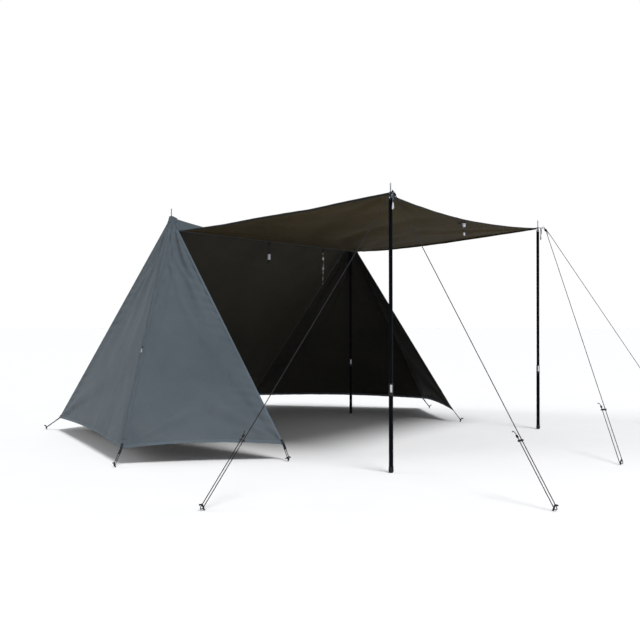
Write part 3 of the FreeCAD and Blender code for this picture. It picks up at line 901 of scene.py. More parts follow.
def awning_grid():
    share, down = AWNING_COLUMNS[None], AWNING_ROWS[:, None]
    width = MIDDLE + AWNING_FLARE * down
    front = share * 2 - 1
    pull = CORNER_REACH * np.abs(front) ** 14
    reach = PANEL_LENGTH + pull - AWNING_CURVE * arch(share)
    y = MIDDLE + width * front - np.sign(front) * AWNING_FLARE * down ** 6 * np.abs(front) ** 14 * 0.9
    droop = (AWNING_SAG * down + AWNING_BELLY * np.sin(math.pi * down)) * arch(share)
    grid = SEAM * vec(1, 0, 1) + PANEL_WAY * (reach * down)[..., None]
    grid[..., 1] = y
    grid[..., 2] -= droop
    grid[..., 2] -= EDGE_SAG * arch(down) * np.abs(front) ** 6
    return grid


def drape(grid, pinned, name):
    """Runs Blender's cloth on a grid of points, held at the pinned ones, and returns the settled points."""
    rows, columns = grid.shape[:2]
    index = np.arange(rows * columns).reshape(rows, columns)
    quads = np.stack([index[:-1, :-1], index[1:, :-1], index[1:, 1:], index[:-1, 1:]], -1).reshape(-1, 4)
    mesh = bpy.data.meshes.new(name)
    mesh.from_pydata(grid.reshape(-1, 3).tolist(), [], quads.tolist())
    cloth = bpy.data.objects.new(name, mesh)
    scene = bpy.context.scene
    scene.collection.objects.link(cloth)
    group = cloth.vertex_groups.new(name="pin")
    flat = pinned.ravel()
    for weight in np.unique(flat[flat > 0]):
        group.add(np.nonzero(flat == weight)[0].tolist(), float(weight), "REPLACE")
    modifier = cloth.modifiers.new("drape", "CLOTH")
    settings = modifier.settings
    settings.vertex_group_mass = "pin"
    settings.quality = 6
    settings.mass = 0.004
    settings.tension_stiffness = 25
    settings.compression_stiffness = 25
    settings.shear_stiffness = 12
    settings.bending_stiffness = 0.08
    settings.air_damping = 2.0
    settings.shrink_min = 0.0015
    settings.effector_weights.gravity = 0.5
    modifier.collision_settings.use_self_collision = False
    modifier.point_cache.frame_start = 1
    modifier.point_cache.frame_end = DRAPE_FRAMES
    for step in range(1, DRAPE_FRAMES + 1):
        scene.frame_set(step)
    evaluated = cloth.evaluated_get(bpy.context.evaluated_depsgraph_get())
    settled = np.zeros(rows * columns * 3)
    evaluated.data.vertices.foreach_get("co", settled)
    bpy.data.objects.remove(cloth)
    scene.frame_set(1)
    moved = settled.reshape(grid.shape) - grid
    size = length(moved)[..., None]
    return grid + moved * np.minimum(1, DRAPE_CAP / np.maximum(size, 1e-9))


def soften(grid, turns):
    for _ in range(turns):
        grid[1:-1, 1:-1] = (grid[1:-1, 1:-1] * 4 + grid[:-2, 1:-1] + grid[2:, 1:-1] + grid[1:-1, :-2]
                            + grid[1:-1, 2:]) / 8
    return grid


def rolled_hem(shape, path, up, tall, tapers):
    """The awning's bound edge, which rolls down from the sheet, with a row of stitches on it.

    A side edge tapers towards the seam it starts from."""
    scale = 0.35 + 0.65 * ease(run_along(path) / BINDING_TAPER) if tapers else np.ones(len(path))
    centre = path - UP * (tall * 0.36 * scale)[:, None]
    outline = circle(tall / 2, 10)
    outline[:, 0] *= 0.46
    sweep(shape, centre, outline, ups=UP, scale=scale)
    stitches(shape, centre + up * (tall / 2 * scale)[:, None], up, 1)


def awning_folds(grid):
    """Height of the awning's folds: fans at its corners, puckers along its edges and long drapes."""
    share, down = AWNING_COLUMNS[None], AWNING_ROWS[:, None]
    height = np.zeros(grid.shape[:-1])
    roots = {side: seam_end(side) for side in SIDES}
    tips = {side: vec(POLE_X, outside(side, 0), TOP) for side in SIDES}
    for k, side in enumerate(SIDES):
        inward = -SIDES[side]
        height += corner_folds(grid, tips[side], vec(-1.0, inward * 0.75, 0), PANEL_UP,
                               size=0.0180, reach=0.46, count=8, seed=80 + k)
        height += corner_folds(grid, roots[side], vec(1, inward * 0.7, 0), PANEL_UP,
                               size=0.0130, reach=0.34, count=8, seed=90 + k)
        height += puckers(grid, roots[side], tips[side], size=0.0040, seed=84 + k, reach=0.06, pitch=0.110)
    height += puckers(grid, roots["near"], roots["far"],
                      size=0.0055, seed=88, reach=0.11, pitch=0.130, slant=0.9)
    # long drapes that run from the near front corner and swing round to the seam
    bend = share - 0.26 - 0.60 * (1 - down) ** 1.7
    drapes = np.exp(1.1 * np.sin(30 * bend + 1.5 * np.sin(5 * down))) / 2 - 0.63
    height += 0.0185 * drapes * np.exp(-(bend / 0.24) ** 2) * np.sin(math.pi * down) ** 0.8
    height += ripples(grid, Y, step=0.36, size=0.0016, seed=95)
    height += ripples(grid, X, step=0.41, size=0.0016, seed=96)
    to_edge = np.minimum.reduce([share * SPAN + 0 * down, (1 - share) * SPAN + 0 * down,
                                 (1 - down) * PANEL_LENGTH + 0 * share])
    return height * (0.12 + 0.88 * ease(to_edge / 0.06)) * ease(down * PANEL_LENGTH / 0.10)


def make_awning():
    grid = awning_grid()
    pinned = np.zeros(grid.shape[:2])
    pinned[:4] = 1.0
    pinned[-3:, :3] = 1.0
    pinned[-3:, -3:] = 1.0
    grid = soften(drape(grid, pinned, "awning_drape"), 2)
    grid = grid + PANEL_UP * awning_folds(grid)[..., None]
    shape = Shape()
    normals = sheet(shape, grid, grid_uv(grid))
    awning = attach(shape, "awning_sheet", ("awning_top", "awning_under"), "awning_fabric", None,
                    "front_panel")
    edges = Shape()
    for column in (0, -1):
        rolled_hem(edges, grid[4:, column], normals[4:, column], SIDE_BINDING, tapers=True)
    rolled_hem(edges, grid[-1], normals[-1], FRONT_BINDING, tapers=False)
    binding = attach(edges, "awning_binding", ("binding", "dark_thread"), "awning_fabric", None)
    for piece in (awning, binding):
        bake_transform(piece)


# ---------------------------------------------------------------- seams, caps and patches
PIPING = 0.0030              # radius of the piping and of the awning seam's cord
PATCH_REACH = 0.050          # from an apex down to the edge of its patch
PATCH_WAVE = 0.004           # how far that edge swings in and out
PATCH_THICK = 0.0016
PATCH_LIFT = 0.0024          # how far the patch stands off the cloth below it
FLAT_RINGS = (0.0056, 0.0075, 0.0100)    # radii of its flat middle, round the eyelet
SLOPE_RINGS = (0.02, 0.05, 0.1, 0.18, 0.28, 0.4, 0.52, 0.64, 0.76, 0.88, 0.97, 1.0)
PATCH_STITCH = 0.005
RIDGE_START = 0.06           # share of the ridge that gives its slope at an apex
RING_UV_STEP = 0.004         # cloth width of one column of a ring
FLAP_THICK = 0.0011


def edge_path(side, place_name, start, end, step=0.012):
    """Points on the seam line from an apex to a hem corner, held out round the pole."""
    a, b = apex(side), corner(side, place_name)
    count = max(3, int(length(b - a) * (end - start) / step))
    line = mix(a[None], b[None], np.linspace(start, end, count)[:, None])
    return hold_over_poles(line)


def make_edge_seams():
    """Piping over the seams between the roof and the end walls."""
    for side in SIDES:
        shape = Shape()
        for corner_name, last in (("back", 0.995), ("front", 0.066)):
            sweep(shape, edge_path(side, corner_name, 0.006, last), circle(PIPING, 8))
        attach(shape, f"{side}_edge_seams", ("piping",), "seam_tape", "tent_base")


def surface_way(side, turn):
    """Unit direction down the cloth from an apex, for a compass turn about the pole (0 = +X)."""
    flat = vec(math.cos(turn), math.sin(turn))
    top = apex(side)
    ridge = (apex("far" if side == "near" else "near") - top) * vec(1, RIDGE_START, 0)
    ridge[2] = -RIDGE_SAG * 4 * RIDGE_START
    rays = [corner(side, name) - top for name in ("back", "end", "front")] + [ridge]
    if side == "far":
        rays = rays[::-1]
    for a, b in zip(rays, rays[1:] + rays[:1]):
        # the direction in plan, as a mix of the two rays on either side of it
        plan = np.stack([a[:2], b[:2]], 1)
        if abs(np.linalg.det(plan)) < 1e-12:
            continue
        s, t = np.linalg.solve(plan, flat)
        if s >= -1e-9 and t >= -1e-9:
            return unit(a * s + b * t)
    raise ValueError("no slope lies this way from the apex")


def make_apex_patch(side):
    """The doubled cap over an apex: flat round the eyelet, then down over all four slopes."""
    rays = [corner(side, name) - apex(side) for name in ("back", "end", "front")]
    marks = [math.atan2(ray[1], ray[0]) for ray in rays] + [-SIDES[side] * math.pi / 2]
    turns = np.unique(np.round(np.concatenate([np.linspace(-math.pi, math.pi, 73)[:-1], marks]), 6))
    ways = np.array([surface_way(side, turn) for turn in turns])
    reach = PATCH_REACH + PATCH_WAVE * np.cos(3 * turns)
    radial = np.stack([np.cos(turns), np.sin(turns), np.zeros_like(turns)], 1)
    rows = [apex(side) + radial * radius + UP * CAP_ABOVE for radius in FLAT_RINGS]
    for share in SLOPE_RINGS:
        along = reach * share
        hold = (1 - ease(along / HOLD_REACH))[:, None]
        rows.append(apex(side) + ways * along[:, None] + radial * hold * (HOLD_OUT + 0.0025)
                    + UP * hold * (CAP_ABOVE - 0.0004))
    grid = np.array(rows)
    grid = np.concatenate([grid, grid[:, :1]], 1)
    normals = grid_normals(grid)
    if normals[-1, 0] @ UP < 0:
        grid = grid[:, ::-1]
        normals = grid_normals(grid)
    normals[:, 0] = normals[:, -1] = unit(normals[:, 0] + normals[:, -1])
    on_slope = np.arange(len(grid))[:, None, None] >= len(FLAT_RINGS)
    grid = grid + normals * PATCH_LIFT * on_slope
    shape = Shape()
    closed_sheet(shape, grid[:, :-1], normals[:, :-1], PATCH_THICK)
    for ring, normal in (((grid[-2] + grid[-3]) / 2, normals[-2]), (grid[5], normals[5])):
        stitches(shape, ring + normal * PATCH_THICK / 2, normal, 1, PATCH_STITCH)
    attach(shape, f"{side}_apex_patch", ("patch", "thread"), "reinforcement", "tent_base", f"{side}_apex_cap")


def closed_sheet(shape, grid, normals, thickness):
    """A sheet whose columns close round a ring."""
    rows, columns = grid.shape[:2]
    count = rows * columns
    skins = [(grid + normals * thickness / 2).reshape(-1, 3), (grid - normals * thickness / 2).reshape(-1, 3)]
    faces, uvs = [], []
    run = run_along(grid[:, 0])
    for i in range(rows - 1):
        for j in range(columns):
            k = (j + 1) % columns
            a, b, c, d = i * columns + j, (i + 1) * columns + j, (i + 1) * columns + k, i * columns + k
            faces += [(a, b, c, d), (d + count, c + count, b + count, a + count)]
            u0, u1 = RING_UV_STEP * j, RING_UV_STEP * (j + 1)
            uvs.append([(u0, run[i]), (u0, run[i + 1]), (u1, run[i + 1]), (u1, run[i])])
            uvs.append([(u1, run[i]), (u1, run[i + 1]), (u0, run[i + 1]), (u0, run[i])])
    for i, flip in ((0, True), (rows - 1, False)):
        for j in range(columns):
            a, b = i * columns + j, i * columns + (j + 1) % columns
            face = (a, b, b + count, a + count)
            faces.append(face if flip else face[::-1])
            uvs.append([(0, 0), (RING_UV_STEP, 0), (RING_UV_STEP, 0.001), (0, 0.001)])
    shape.add(np.vstack(skins), faces, uvs)


def make_seam_tape():
    """The awning seam: a covered cord and a stitched flap that lies over the awning's root."""
    low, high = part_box("awning_seam_tape")
    y = np.linspace(low.y, high.y, 160)
    shape = Shape()
    axis = np.stack([np.full_like(y, SEAM[0]), y, np.full_like(y, SEAM[2])], 1)
    sweep(shape, axis, circle(PIPING))
    flap_width = (high.x - SEAM[0]) / math.cos(PANEL_ANGLE)
    outs = np.array([0.0, 0.15, 0.3, 0.5, 0.7, 0.85, 0.95, 1.0])
    lift = 0.0020 + 0.0004 * np.sin(y * 37)
    grid = (axis[None] + PANEL_WAY * (outs * flap_width)[:, None, None]
            + PANEL_UP * (lift[None] + 0.0002 * np.sin(y * 61)[None] * outs[:, None])[..., None])
    normals = sheet(shape, grid, grid_uv(grid), FLAP_THICK, (0, 0))
    for row in (2, 6):
        stitches(shape, grid[row] + normals[row] * 0.0006, normals[row], 1)
    attach(shape, "awning_seam_tape_sewn", ("seam_tape", "thread"), "seam_tape", "awning_seam",
           "awning_seam_tape")


# ---------------------------------------------------------------- zips
ZIP_TOP, ZIP_LOW = 0.05, 0.965           # ends of a zip, as shares of its seam
ZIP_STAND = 0.0045           # how far the teeth stand out from the seam line
TAPE_LEAN = 0.42             # how far each tape leans back on its own wall
TAPE_THICK = 0.0011
COIL_PITCH = 0.0025
COIL_STEPS = 8
SLIDER_HALF = 0.0062


def zip_frame(side):
    """Start, end, forward and outward of the zip line on an end wall's middle seam."""
    top, low = apex(side), corner(side, "end")
    down = unit(low - top)
    out = square_to(unit((low - top) * vec(1, 1, 0)), down)
    across = np.cross(out, down)
    return top, low, down, across if across[0] > 0 else -across, out


def make_zip(side):
    top, low, down, front, out = zip_frame(side)
    start, end = mix(top, low, ZIP_TOP), mix(top, low, ZIP_LOW)
    path = mix(start[None], end[None], np.linspace(0, 1, 140)[:, None])
    wobble = np.linspace(0, 1, len(path))
    wobble = 0.0006 * np.sin(wobble * 43 + 2 * np.sin(wobble * 17))[:, None]
    shape = Shape()
    for way in (-1, 1):
        lean = unit(front * way - out * TAPE_LEAN)
        normal = unit(np.cross(down, lean))
        normal = normal if normal @ out > 0 else -normal
        base = path + out * (ZIP_STAND - 0.0012)
        surface = base + normal * 0.0006
        sweep(shape, base + lean * 0.0068, band(0.0125, TAPE_THICK), ups=-normal, slot=0)
        # a narrow piped welt in the lighter hem cloth as a painted highlight of the seam's fold, a folded facing,
        # and the stitches that hold the tape
        sweep(shape, surface + lean * (0.0052 + wobble) + normal * 0.0012, circle(0.0017, 8), slot=3)
        sweep(shape, surface + lean * (0.0135 + wobble * 2), band(0.0100, 0.0016), ups=normal, slot=2)
        for offset in (0.0100, 0.0170):
            stitches(shape, surface + lean * offset + normal * 0.0008, np.tile(normal, (len(path), 1)), 4)
    count = int(length(end - start) / COIL_PITCH)
    turn = np.linspace(0, 2 * math.pi * count, count * COIL_STEPS)
    coil = mix(start[None], end[None], np.linspace(0, 1, len(turn))[:, None])
    coil = (coil + front * (0.0023 * np.cos(turn))[:, None]
            + out * (ZIP_STAND + 0.0003 + 0.0009 * np.sin(turn))[:, None])
    sweep(shape, coil, circle(0.00045, 4), slot=1)
    # tape and coil are lightened as painted highlight; the welts use the lighter hem cloth for the same
    attach(shape, f"{side}_zip", ("tape", "coil", "outside", "hem", "thread"), "zip_tape", "tent_base",
          f"{side}_zip_tape")


def make_zip_slider(side):
    top, low, down, front, out = zip_frame(side)
    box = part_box(f"{side}_zip_slider")
    middle = (np.array(box[0]) + np.array(box[1])) / 2
    base = top + down * ((middle - top) @ down - 0.011) + out * (ZIP_STAND + 0.0032)

    def at(along, outward, sideways=0.0):
        return base + down * along + out * outward + front * sideways

    shape = Shape()
    lengthwise = np.linspace(-SLIDER_HALF, SLIDER_HALF, 9)
    waist = 0.78 + 0.22 * (lengthwise / SLIDER_HALF) ** 2
    path = base + down * lengthwise[:, None]
    sweep(shape, path, band(0.0118, 0.0016), ups=out, scale=waist)
    sweep(shape, path[1:-1] + out * 0.0030, band(0.0096, 0.0013), ups=out, scale=waist[1:-1])
    bridge = smooth_path([at(-0.0045, 0.0036), at(-0.0030, 0.0056), at(0, 0.0064), at(0.0030, 0.0056),
                          at(0.0045, 0.0036)], 5)
    sweep(shape, bridge, band(0.0026, 0.0011), ups=front)
    ring = [at(0.0035 + 0.0040 * (1 - math.cos(t)), 0.0052, 0.0030 * math.sin(t)) for t in full_turn(16)]
    sweep(shape, np.array(ring), circle(0.0006, 6), ups=out, closed=True)
    tab = smooth_path([at(0.0105, 0.0050), at(0.020, 0.0046), at(0.030, 0.0036, 0.0006),
                       at(0.037, 0.0030)], 6)
    sweep(shape, tab, band(0.0085, 0.0018), ups=out, slot=1, scale=np.linspace(0.75, 1.0, len(tab)))
    cord = smooth_path([at(0.0110, 0.0060), at(0.024, 0.0066, 0.002), at(0.036, 0.0050, 0.003)], 6)
    sweep(shape, cord, circle(0.0011, 6), slot=2)
    attach(shape, f"{side}_slider_and_pull", ("slider", "tag", "cord"), "zip_slider", f"{side}_zip_slider",
          f"{side}_zip_slider")


# ---------------------------------------------------------------- straps
LOOP_SPREAD = unit(vec(0.805, 0.593, 0))     # the way the legs of a hanging cord loop stand apart
FACING = unit(vec(0.60, -0.80, 0.0))         # the way the hanging straps turn their flat sides
LOOP_SHARES = (0.0, 0.12, 0.35, 0.62, 0.88, 1.0)
LOOP_WIDTHS = (0.15, 0.75, 1.0, 0.85, 0.60, 0.0)


def hanging_strap(shape, path, width, thick, slot, facing=FACING, twist=0.0):
    """Webbing along a path, its flat side turned to a facing and twisting on the way."""
    path = np.asarray(path, float)
    sweep(shape, path, band(width, thick), ups=facing, slot=slot, twist=np.linspace(0, twist, len(path)))


def toggle_loop(shape, top, low, half_width, slot, radius=0.0019, across=LOOP_SPREAD):
    """A long loop of cord that hangs from a point, its two legs a little apart."""
    span = top[2] - low[2]
    down = np.array(LOOP_SHARES)[:, None] * span * UP
    aside = np.array(LOOP_WIDTHS)[:, None] * half_width * across
    legs = np.concatenate([top - down - aside, (top - down + aside)[-2::-1]])
    sweep(shape, smooth_path(legs, 6), circle(radius, 7), slot=slot)


def small_ring(shape, centre, radius, wire, slot, normal):
    side = unit(np.cross(normal, UP))
    turn = full_turn(20)
    ring = centre + UP * (radius * np.cos(turn))[:, None] + side * (radius * np.sin(turn))[:, None]
    sweep(shape, ring, circle(wire, 8), ups=normal, closed=True, slot=slot)


def hanging(node):
    """Points down a hanging node: at(share, x, y) lies a share of the way down, moved by x and y."""
    low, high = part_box(node)
    top = vec((low.x + high.x) / 2, (low.y + high.y) / 2, high.z)
    run = high.z - low.z
    return top, run, lambda share, x=0.0, y=0.0: top - UP * run * share + X * x + Y * y


def make_short_tie():
    """A cord loop with a pale keeper and a tail."""
    top, run, at = hanging("short_rollup_tie")
    shape = Shape()
    hanging_strap(shape, np.linspace(top, at(0.14), 5), 0.020, 0.0022, slot=0)
    toggle_loop(shape, at(0.10), at(0.62), 0.0085, slot=3)
    keeper = smooth_path([at(0.55), at(0.66, 0.001), at(0.80)], 5)
    hanging_strap(shape, keeper, 0.022, 0.0044, slot=1, twist=0.25)
    tail = smooth_path([at(0.77), at(0.88, 0, -0.004), at(0.985, 0, -0.010)], 5)
    hanging_strap(shape, tail, 0.015, 0.0022, slot=0, twist=0.9)
    attach(shape, "short_tie_strap", ("webbing", "tag", "olive", "cord"), "webbing", "short_rollup_tie",
          "short_rollup_tie")


def make_long_tie():
    """A long twisted strap with two pale keepers."""
    top, run, at = hanging("long_rollup_tie")
    shape = Shape()
    hanging_strap(shape, np.linspace(top, at(0.12), 5), 0.014, 0.0022, slot=0)
    t = np.linspace(0, 1, 170)
    path = top - UP * (run * (0.10 + 0.88 * t))[:, None] + Y * (0.005 * np.sin(5 * t))[:, None]
    hanging_strap(shape, path, 0.0125, 0.0017, slot=2, twist=math.pi * 5)
    for share in (0.24, 0.52):
        hanging_strap(shape, np.linspace(at(share), at(share) - UP * 0.022, 4), 0.015, 0.0052, slot=1)
    attach(shape, "long_tie_strap", ("webbing", "tag", "olive", "cord"), "webbing", "long_rollup_tie",
          "long_rollup_tie")


LOOP_FINISHES = ("webbing", "tag", "eyelet", "webbing_slate", "cord")


def make_corner_loop(side):
    """A doubled strap, a cord loop and a small ring below a corner tab of the awning, with two tails."""
    top, run, at = hanging(f"{side}_front_loop")
    shape = Shape()
    strap = smooth_path([top - UP * 0.0010, at(0.20), at(0.44)], 5)
    hanging_strap(shape, strap, 0.018, 0.0030, slot=3, facing=X, twist=0.15)
    toggle_loop(shape, at(0.06, 0.0026), at(0.52, 0.0026), 0.0070, slot=4, radius=0.0017, across=Y)
    small_ring(shape, at(0.50), 0.0075, 0.0014, slot=2, normal=X)
    for way, reach in ((-1, 0.98), (1, 0.90)):
        tail = smooth_path([at(0.55), at(0.71, 0, 0.003 * way), at(reach, 0.001, 0.0070 * way)], 5)
        hanging_strap(shape, tail, 0.0095, 0.0022, slot=1 if side == "near" else 0, facing=X, twist=0.3 * way)
    attach(shape, f"{side}_peg_loop", LOOP_FINISHES, "webbing", f"{side}_front_loop", f"{side}_front_loop")


def make_middle_loop():
    """The loop in the middle of the awning's front edge, and the loose tie sewn beside it."""
    top, run, at = hanging("middle_front_loop")
    shape = Shape()
    hanging_strap(shape, np.linspace(top - UP * 0.002, at(0.16), 5), 0.016, 0.0024, slot=0)
    hanging_strap(shape, smooth_path([at(0.10), at(0.22), at(0.36)], 4), 0.020, 0.0046, slot=1, twist=0.15)
    small_ring(shape, at(0.36) - UP * 0.0070, 0.0078, 0.0016, slot=2, normal=FACING)
    toggle_loop(shape, at(0.36) - UP * 0.0120, at(0.80), 0.0050, slot=4, radius=0.0016)
    tail = smooth_path([at(0.76), at(0.87, 0, 0.003), at(0.98, 0, 0.008)], 5)
    hanging_strap(shape, tail, 0.012, 0.0022, slot=1, twist=0.4)
    attach(shape, "middle_peg_loop", LOOP_FINISHES, "webbing", "middle_front_loop", "middle_front_loop")
    tie = Shape()
    loose = smooth_path([top + vec(0, -y, z) for y, z in ((0.014, 0.002), (0.030, -0.006), (0.052, -0.010),
                                                          (0.074, -0.020))], 6)
    hanging_strap(tie, loose, 0.013, 0.0022, slot=0, facing=UP, twist=0.4)
    attach(tie, "middle_edge_tie", LOOP_FINISHES, "webbing", "awning_panel")


# ---------------------------------------------------------------- guy lines
HEAD_RUN = 0.06              # length at the ring end over which a guy line bends into its own straight line
RING_PULL = 0.0075           # from a ring's middle to where the line pulls on it
CORD_END = CORD * 0.95       # radius of a cord's loose end
END_SIDES = 7


def coil_knot(shape, at, way, turns, radius):
    """A few tight turns of cord round a line."""
    side = unit(np.cross(way, UP))
    up = np.cross(side, way)
    t = np.linspace(0, 2 * math.pi * turns, int(turns * 12) + 1)
    path = (at + way * (CORD * 2.05 * t / (2 * math.pi))[:, None] + side * (radius * np.cos(t))[:, None]
            + up * (radius * np.sin(t))[:, None])
    sweep(shape, path, circle(CORD, 7))


def straight_cord(shape, start, end, count):
    sweep(shape, mix(start[None], end[None], np.linspace(0, 1, count)[:, None]), circle(CORD, 9))


def middle_of(node):
    low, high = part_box(node)
    return (np.array(low) + np.array(high)) / 2


def make_guy(side, way):
    """One guy line: down to its tensioner, on to the peg, and back up to the tensioner."""
    name = f"{side}_{way}"
    joint = JOINTS[f"guy_tension_{name}"]
    line = unit(vec(*joint["axis"]))
    across = unit(np.cross(line, UP))
    centre = middle_of(f"{name}_tensioner")
    ring = middle_of(f"{side}_guy_ring")
    main = centre - across * CORD_SPACING / 2
    start = main + line * ((ring - main) @ line)
    ground = main + line * ((GUY_GROUND - main[2]) / line[2])
    turn = ground + across * CORD_SPACING
    second = turn - line * ((turn - centre) @ line)
    # the upper part: from the ring, with a knot and a loose end on the side away from the pole
    pull = ring + unit(start - ring) * RING_PULL
    upper = Shape()
    head = smooth_path([pull, pull + line * 0.018 + (start - pull) * 0.25, start + line * HEAD_RUN], 6)
    body = mix((start + line * HEAD_RUN)[None], main[None], np.linspace(0, 1, 60)[1:, None])
    sweep(upper, np.vstack([head, body]), circle(CORD, 9))
    coil_knot(upper, pull + line * 0.020 + (start - pull) * 0.25, line, 4, CORD * 1.9)
    loose = across * np.sign(across @ (ring - MOUNTS[f"{side}_awning_pole_foot"]))
    tail = smooth_path([pull + line * 0.030 + (start - pull) * 0.3,
                        pull + line * 0.040 - UP * 0.004 + loose * 0.008,
                        pull + line * 0.050 - UP * 0.018 + loose * 0.010], 5)
    sweep(upper, tail, circle(CORD_END, END_SIDES))
    piece = attach(upper, f"{name}_guy_upper", ("cord",), "cord", "tent_base", f"{name}_guy_line")
    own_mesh(piece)
    # the lower part: from the tensioner to the peg and round it
    lower = Shape()
    straight_cord(lower, main, ground, 12)
    t = np.linspace(0, math.pi, 13)
    bend = ((ground + turn) / 2 - across * (CORD_SPACING / 2 * np.cos(t))[:, None]
            + line * (CORD_SPACING * 0.42 * np.sin(t))[:, None])
    sweep(lower, bend, circle(CORD, 9))
    attach(lower, f"{name}_guy_lower", ("cord",), "cord", "tent_base")
    # the run back up to the tensioner, built at one length; nothing here shortens it as the tensioner slides down
    back = Shape()
    straight_cord(back, turn, second, 14)
    piece = attach(back, f"{name}_guy_return", ("cord",), "cord", "tent_base")
    1 - joint["range_m"][1] / length(second - turn)
    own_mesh(piece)
    # the end knot, which rides on the tensioner
    knot = Shape()
    above = second - line * 0.016
    sweep(knot, np.array([second + line * 0.004, second - line * 0.006, above]), circle(CORD, 8))
    coil_knot(knot, above, -line, 3, CORD * 1.7)
    end = above - line * 0.010
    steps = ((0, 0, 0), (0.010, 0.004, 0.004), (0.022, 0.003, 0.011), (0.028, -0.006, 0.016))
    loose_end = smooth_path([end - line * a + UP * b + across * c for a, b, c in steps], 5)
    sweep(knot, loose_end, circle(CORD_END, END_SIDES))
    attach(knot, f"{name}_guy_knot", ("cord",), "cord", f"{name}_tensioner")


# ---------------------------------------------------------------- hem corners
LOOP_RUN = 0.038             # from a hem corner to the tip of its webbing loop
LOOP_HOLD = 0.030            # how far up the cloth the loop is sewn
LOOP_WIDE = 0.0165
LOOP_TIP = 0.0024            # radius of the fold at its tip
LOOP_TIP_HALF = 0.0083       # half the width of that fold
PLY_OFFSET = 0.0012          # from the middle to each ply of the loop
PEG_CORD_HALF = 0.0052       # half the width of the cord loop round a peg
PEG_OFFSETS = {"back": (-0.150, 0.020), "end": (0.030, 0.075), "front": (0.060, 0.025)}   # forward, outward


def stadium(a, b, way, across, half_width):
    """A closed path round two points: two straight runs and two half circles."""
    t = np.linspace(0, math.pi, 9)
    first = [b + way * half_width * math.sin(k) * 1.25 + across * half_width * math.cos(k) for k in t]
    second = [a - way * half_width * math.sin(k) - across * half_width * math.cos(k) for k in t]
    path = np.array(first + second)
    return resample(np.vstack([path, path[:1]]), 0.004)[:-1]


def make_hem_corner(loops, cords, side, name):
    """A folded webbing loop sewn to the cloth at a hem corner, and a cord loop round its peg."""
    forward, outward = PEG_OFFSETS[name]
    at = corner(side, name)
    peg = at + vec(forward, SIDES[side] * outward, 0)
    peg[2] = GUY_GROUND
    way = unit(peg - at)
    across = unit(np.cross(way, UP))
    normal = np.cross(across, way)
    inside = unit(apex(side) - at)
    anchor = at + inside * LOOP_HOLD
    tip = at + way * LOOP_RUN
    path = smooth_path([anchor, at + inside * 0.004, at + way * 0.012, tip], 6)
    for face in (1, -1):
        sweep(loops, path + normal * PLY_OFFSET * face, band(LOOP_WIDE, 0.0018), ups=normal)
    fold = np.array([tip - across * LOOP_TIP_HALF, tip + across * LOOP_TIP_HALF])
    sweep(loops, fold, circle(LOOP_TIP))
    for shift in (-0.005, 0.0, 0.005):
        row = np.array([anchor + across * half + inside * shift for half in (-0.006, 0.006)])
        stitches(loops, row + normal * 0.0022, np.array([normal, normal]), 1, 0.004)
    ring = stadium(tip - way * 0.005, peg, way, across, PEG_CORD_HALF)
    sweep(cords, ring, circle(CORD, 8), ups=normal, closed=True)
    if name == "front":
        knot_at = mix(tip, peg, 0.80) + across * PEG_CORD_HALF
        coil_knot(cords, knot_at, way, 2.5, CORD * 1.6)
        steps = ((0.008, 0, 0), (0.013, 0.008, 0.003), (0.012, 0.020, 0.006))
        loose_end = smooth_path([knot_at + way * a + across * b + UP * c for a, b, c in steps], 5)
        sweep(cords, loose_end, circle(CORD_END, END_SIDES))


def make_hem_corners():
    loops, cords = Shape(), Shape()
    for side in SIDES:
        for name in PEG_OFFSETS:
            make_hem_corner(loops, cords, side, name)
    attach(loops, "hem_corner_loops", ("webbing", "thread"), "webbing", "tent_base", "hem_webbing_loops")
    attach(cords, "hem_corner_cords", ("cord",), "cord", "tent_base", "hem_peg_cords")


# ---------------------------------------------------------------- pale marks on the poles
MARK_RISE = (0.019, 0.062)   # of a pole mark, from the foot of its lock collar
MARK_FACING = math.radians(-52)
MARK_HALF_TURN = 0.50
MARK_STAND = 0.00012         # how far a mark stands off its collar


def make_pole_mark(side, kind):
    """A plain pale patch printed on a lock collar; it turns with the collar."""
    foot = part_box(f"{side}_{kind}_pole_lock_collar")[0].z
    low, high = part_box(f"{side}_{kind}_pole_lower_tube")
    x, y = (low.x + high.x) / 2, (low.y + high.y) / 2
    radius = (high.x - low.x) / 2 + MARK_STAND
    turns = MARK_FACING + np.linspace(-MARK_HALF_TURN, MARK_HALF_TURN, 11)
    grid = np.array([[vec(x + radius * math.cos(turn), y + radius * math.sin(turn), z) for turn in turns]
                     for z in np.linspace(foot + MARK_RISE[1], foot + MARK_RISE[0], 8)])
    shape = Shape()
    sheet(shape, grid, grid_uv(grid), 0.0001, (0, 0))
    attach(shape, f"{side}_{kind}_pole_mark", ("mark",), "lock_collar", f"{side}_{kind}_lock_collar")


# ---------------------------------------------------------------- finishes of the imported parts
PACKED_FINISHES = {"_foot": "rubber", "_tube": "pole", "_collar": "collar", "_spike": "steel",
                   "_eyelet": "eyelet", "_ring": "eyelet", "_tensioner": "tensioner", "_pegs": "peg",
                   "_corner_tab": "webbing_slate"}


def paint(part, material):
    part.data.materials.clear()
    part.data.materials.append(material)
    for slot in part.material_slots:
        slot.link = "OBJECT"
        slot.material = material


def paint_packed_parts():
    for node, part in frame["nodes"].items():
        for ending, finish in PACKED_FINISHES.items():
            if node.endswith(ending) and not part.hide_render:
                paint(part, MATERIALS[finish])


# ---------------------------------------------------------------- floor, light and camera
FLOOR_HALF = 60.0
FLOOR_Z = -0.001
AMBIENT = 0.33               # light of the dome; the backdrop itself is seen white
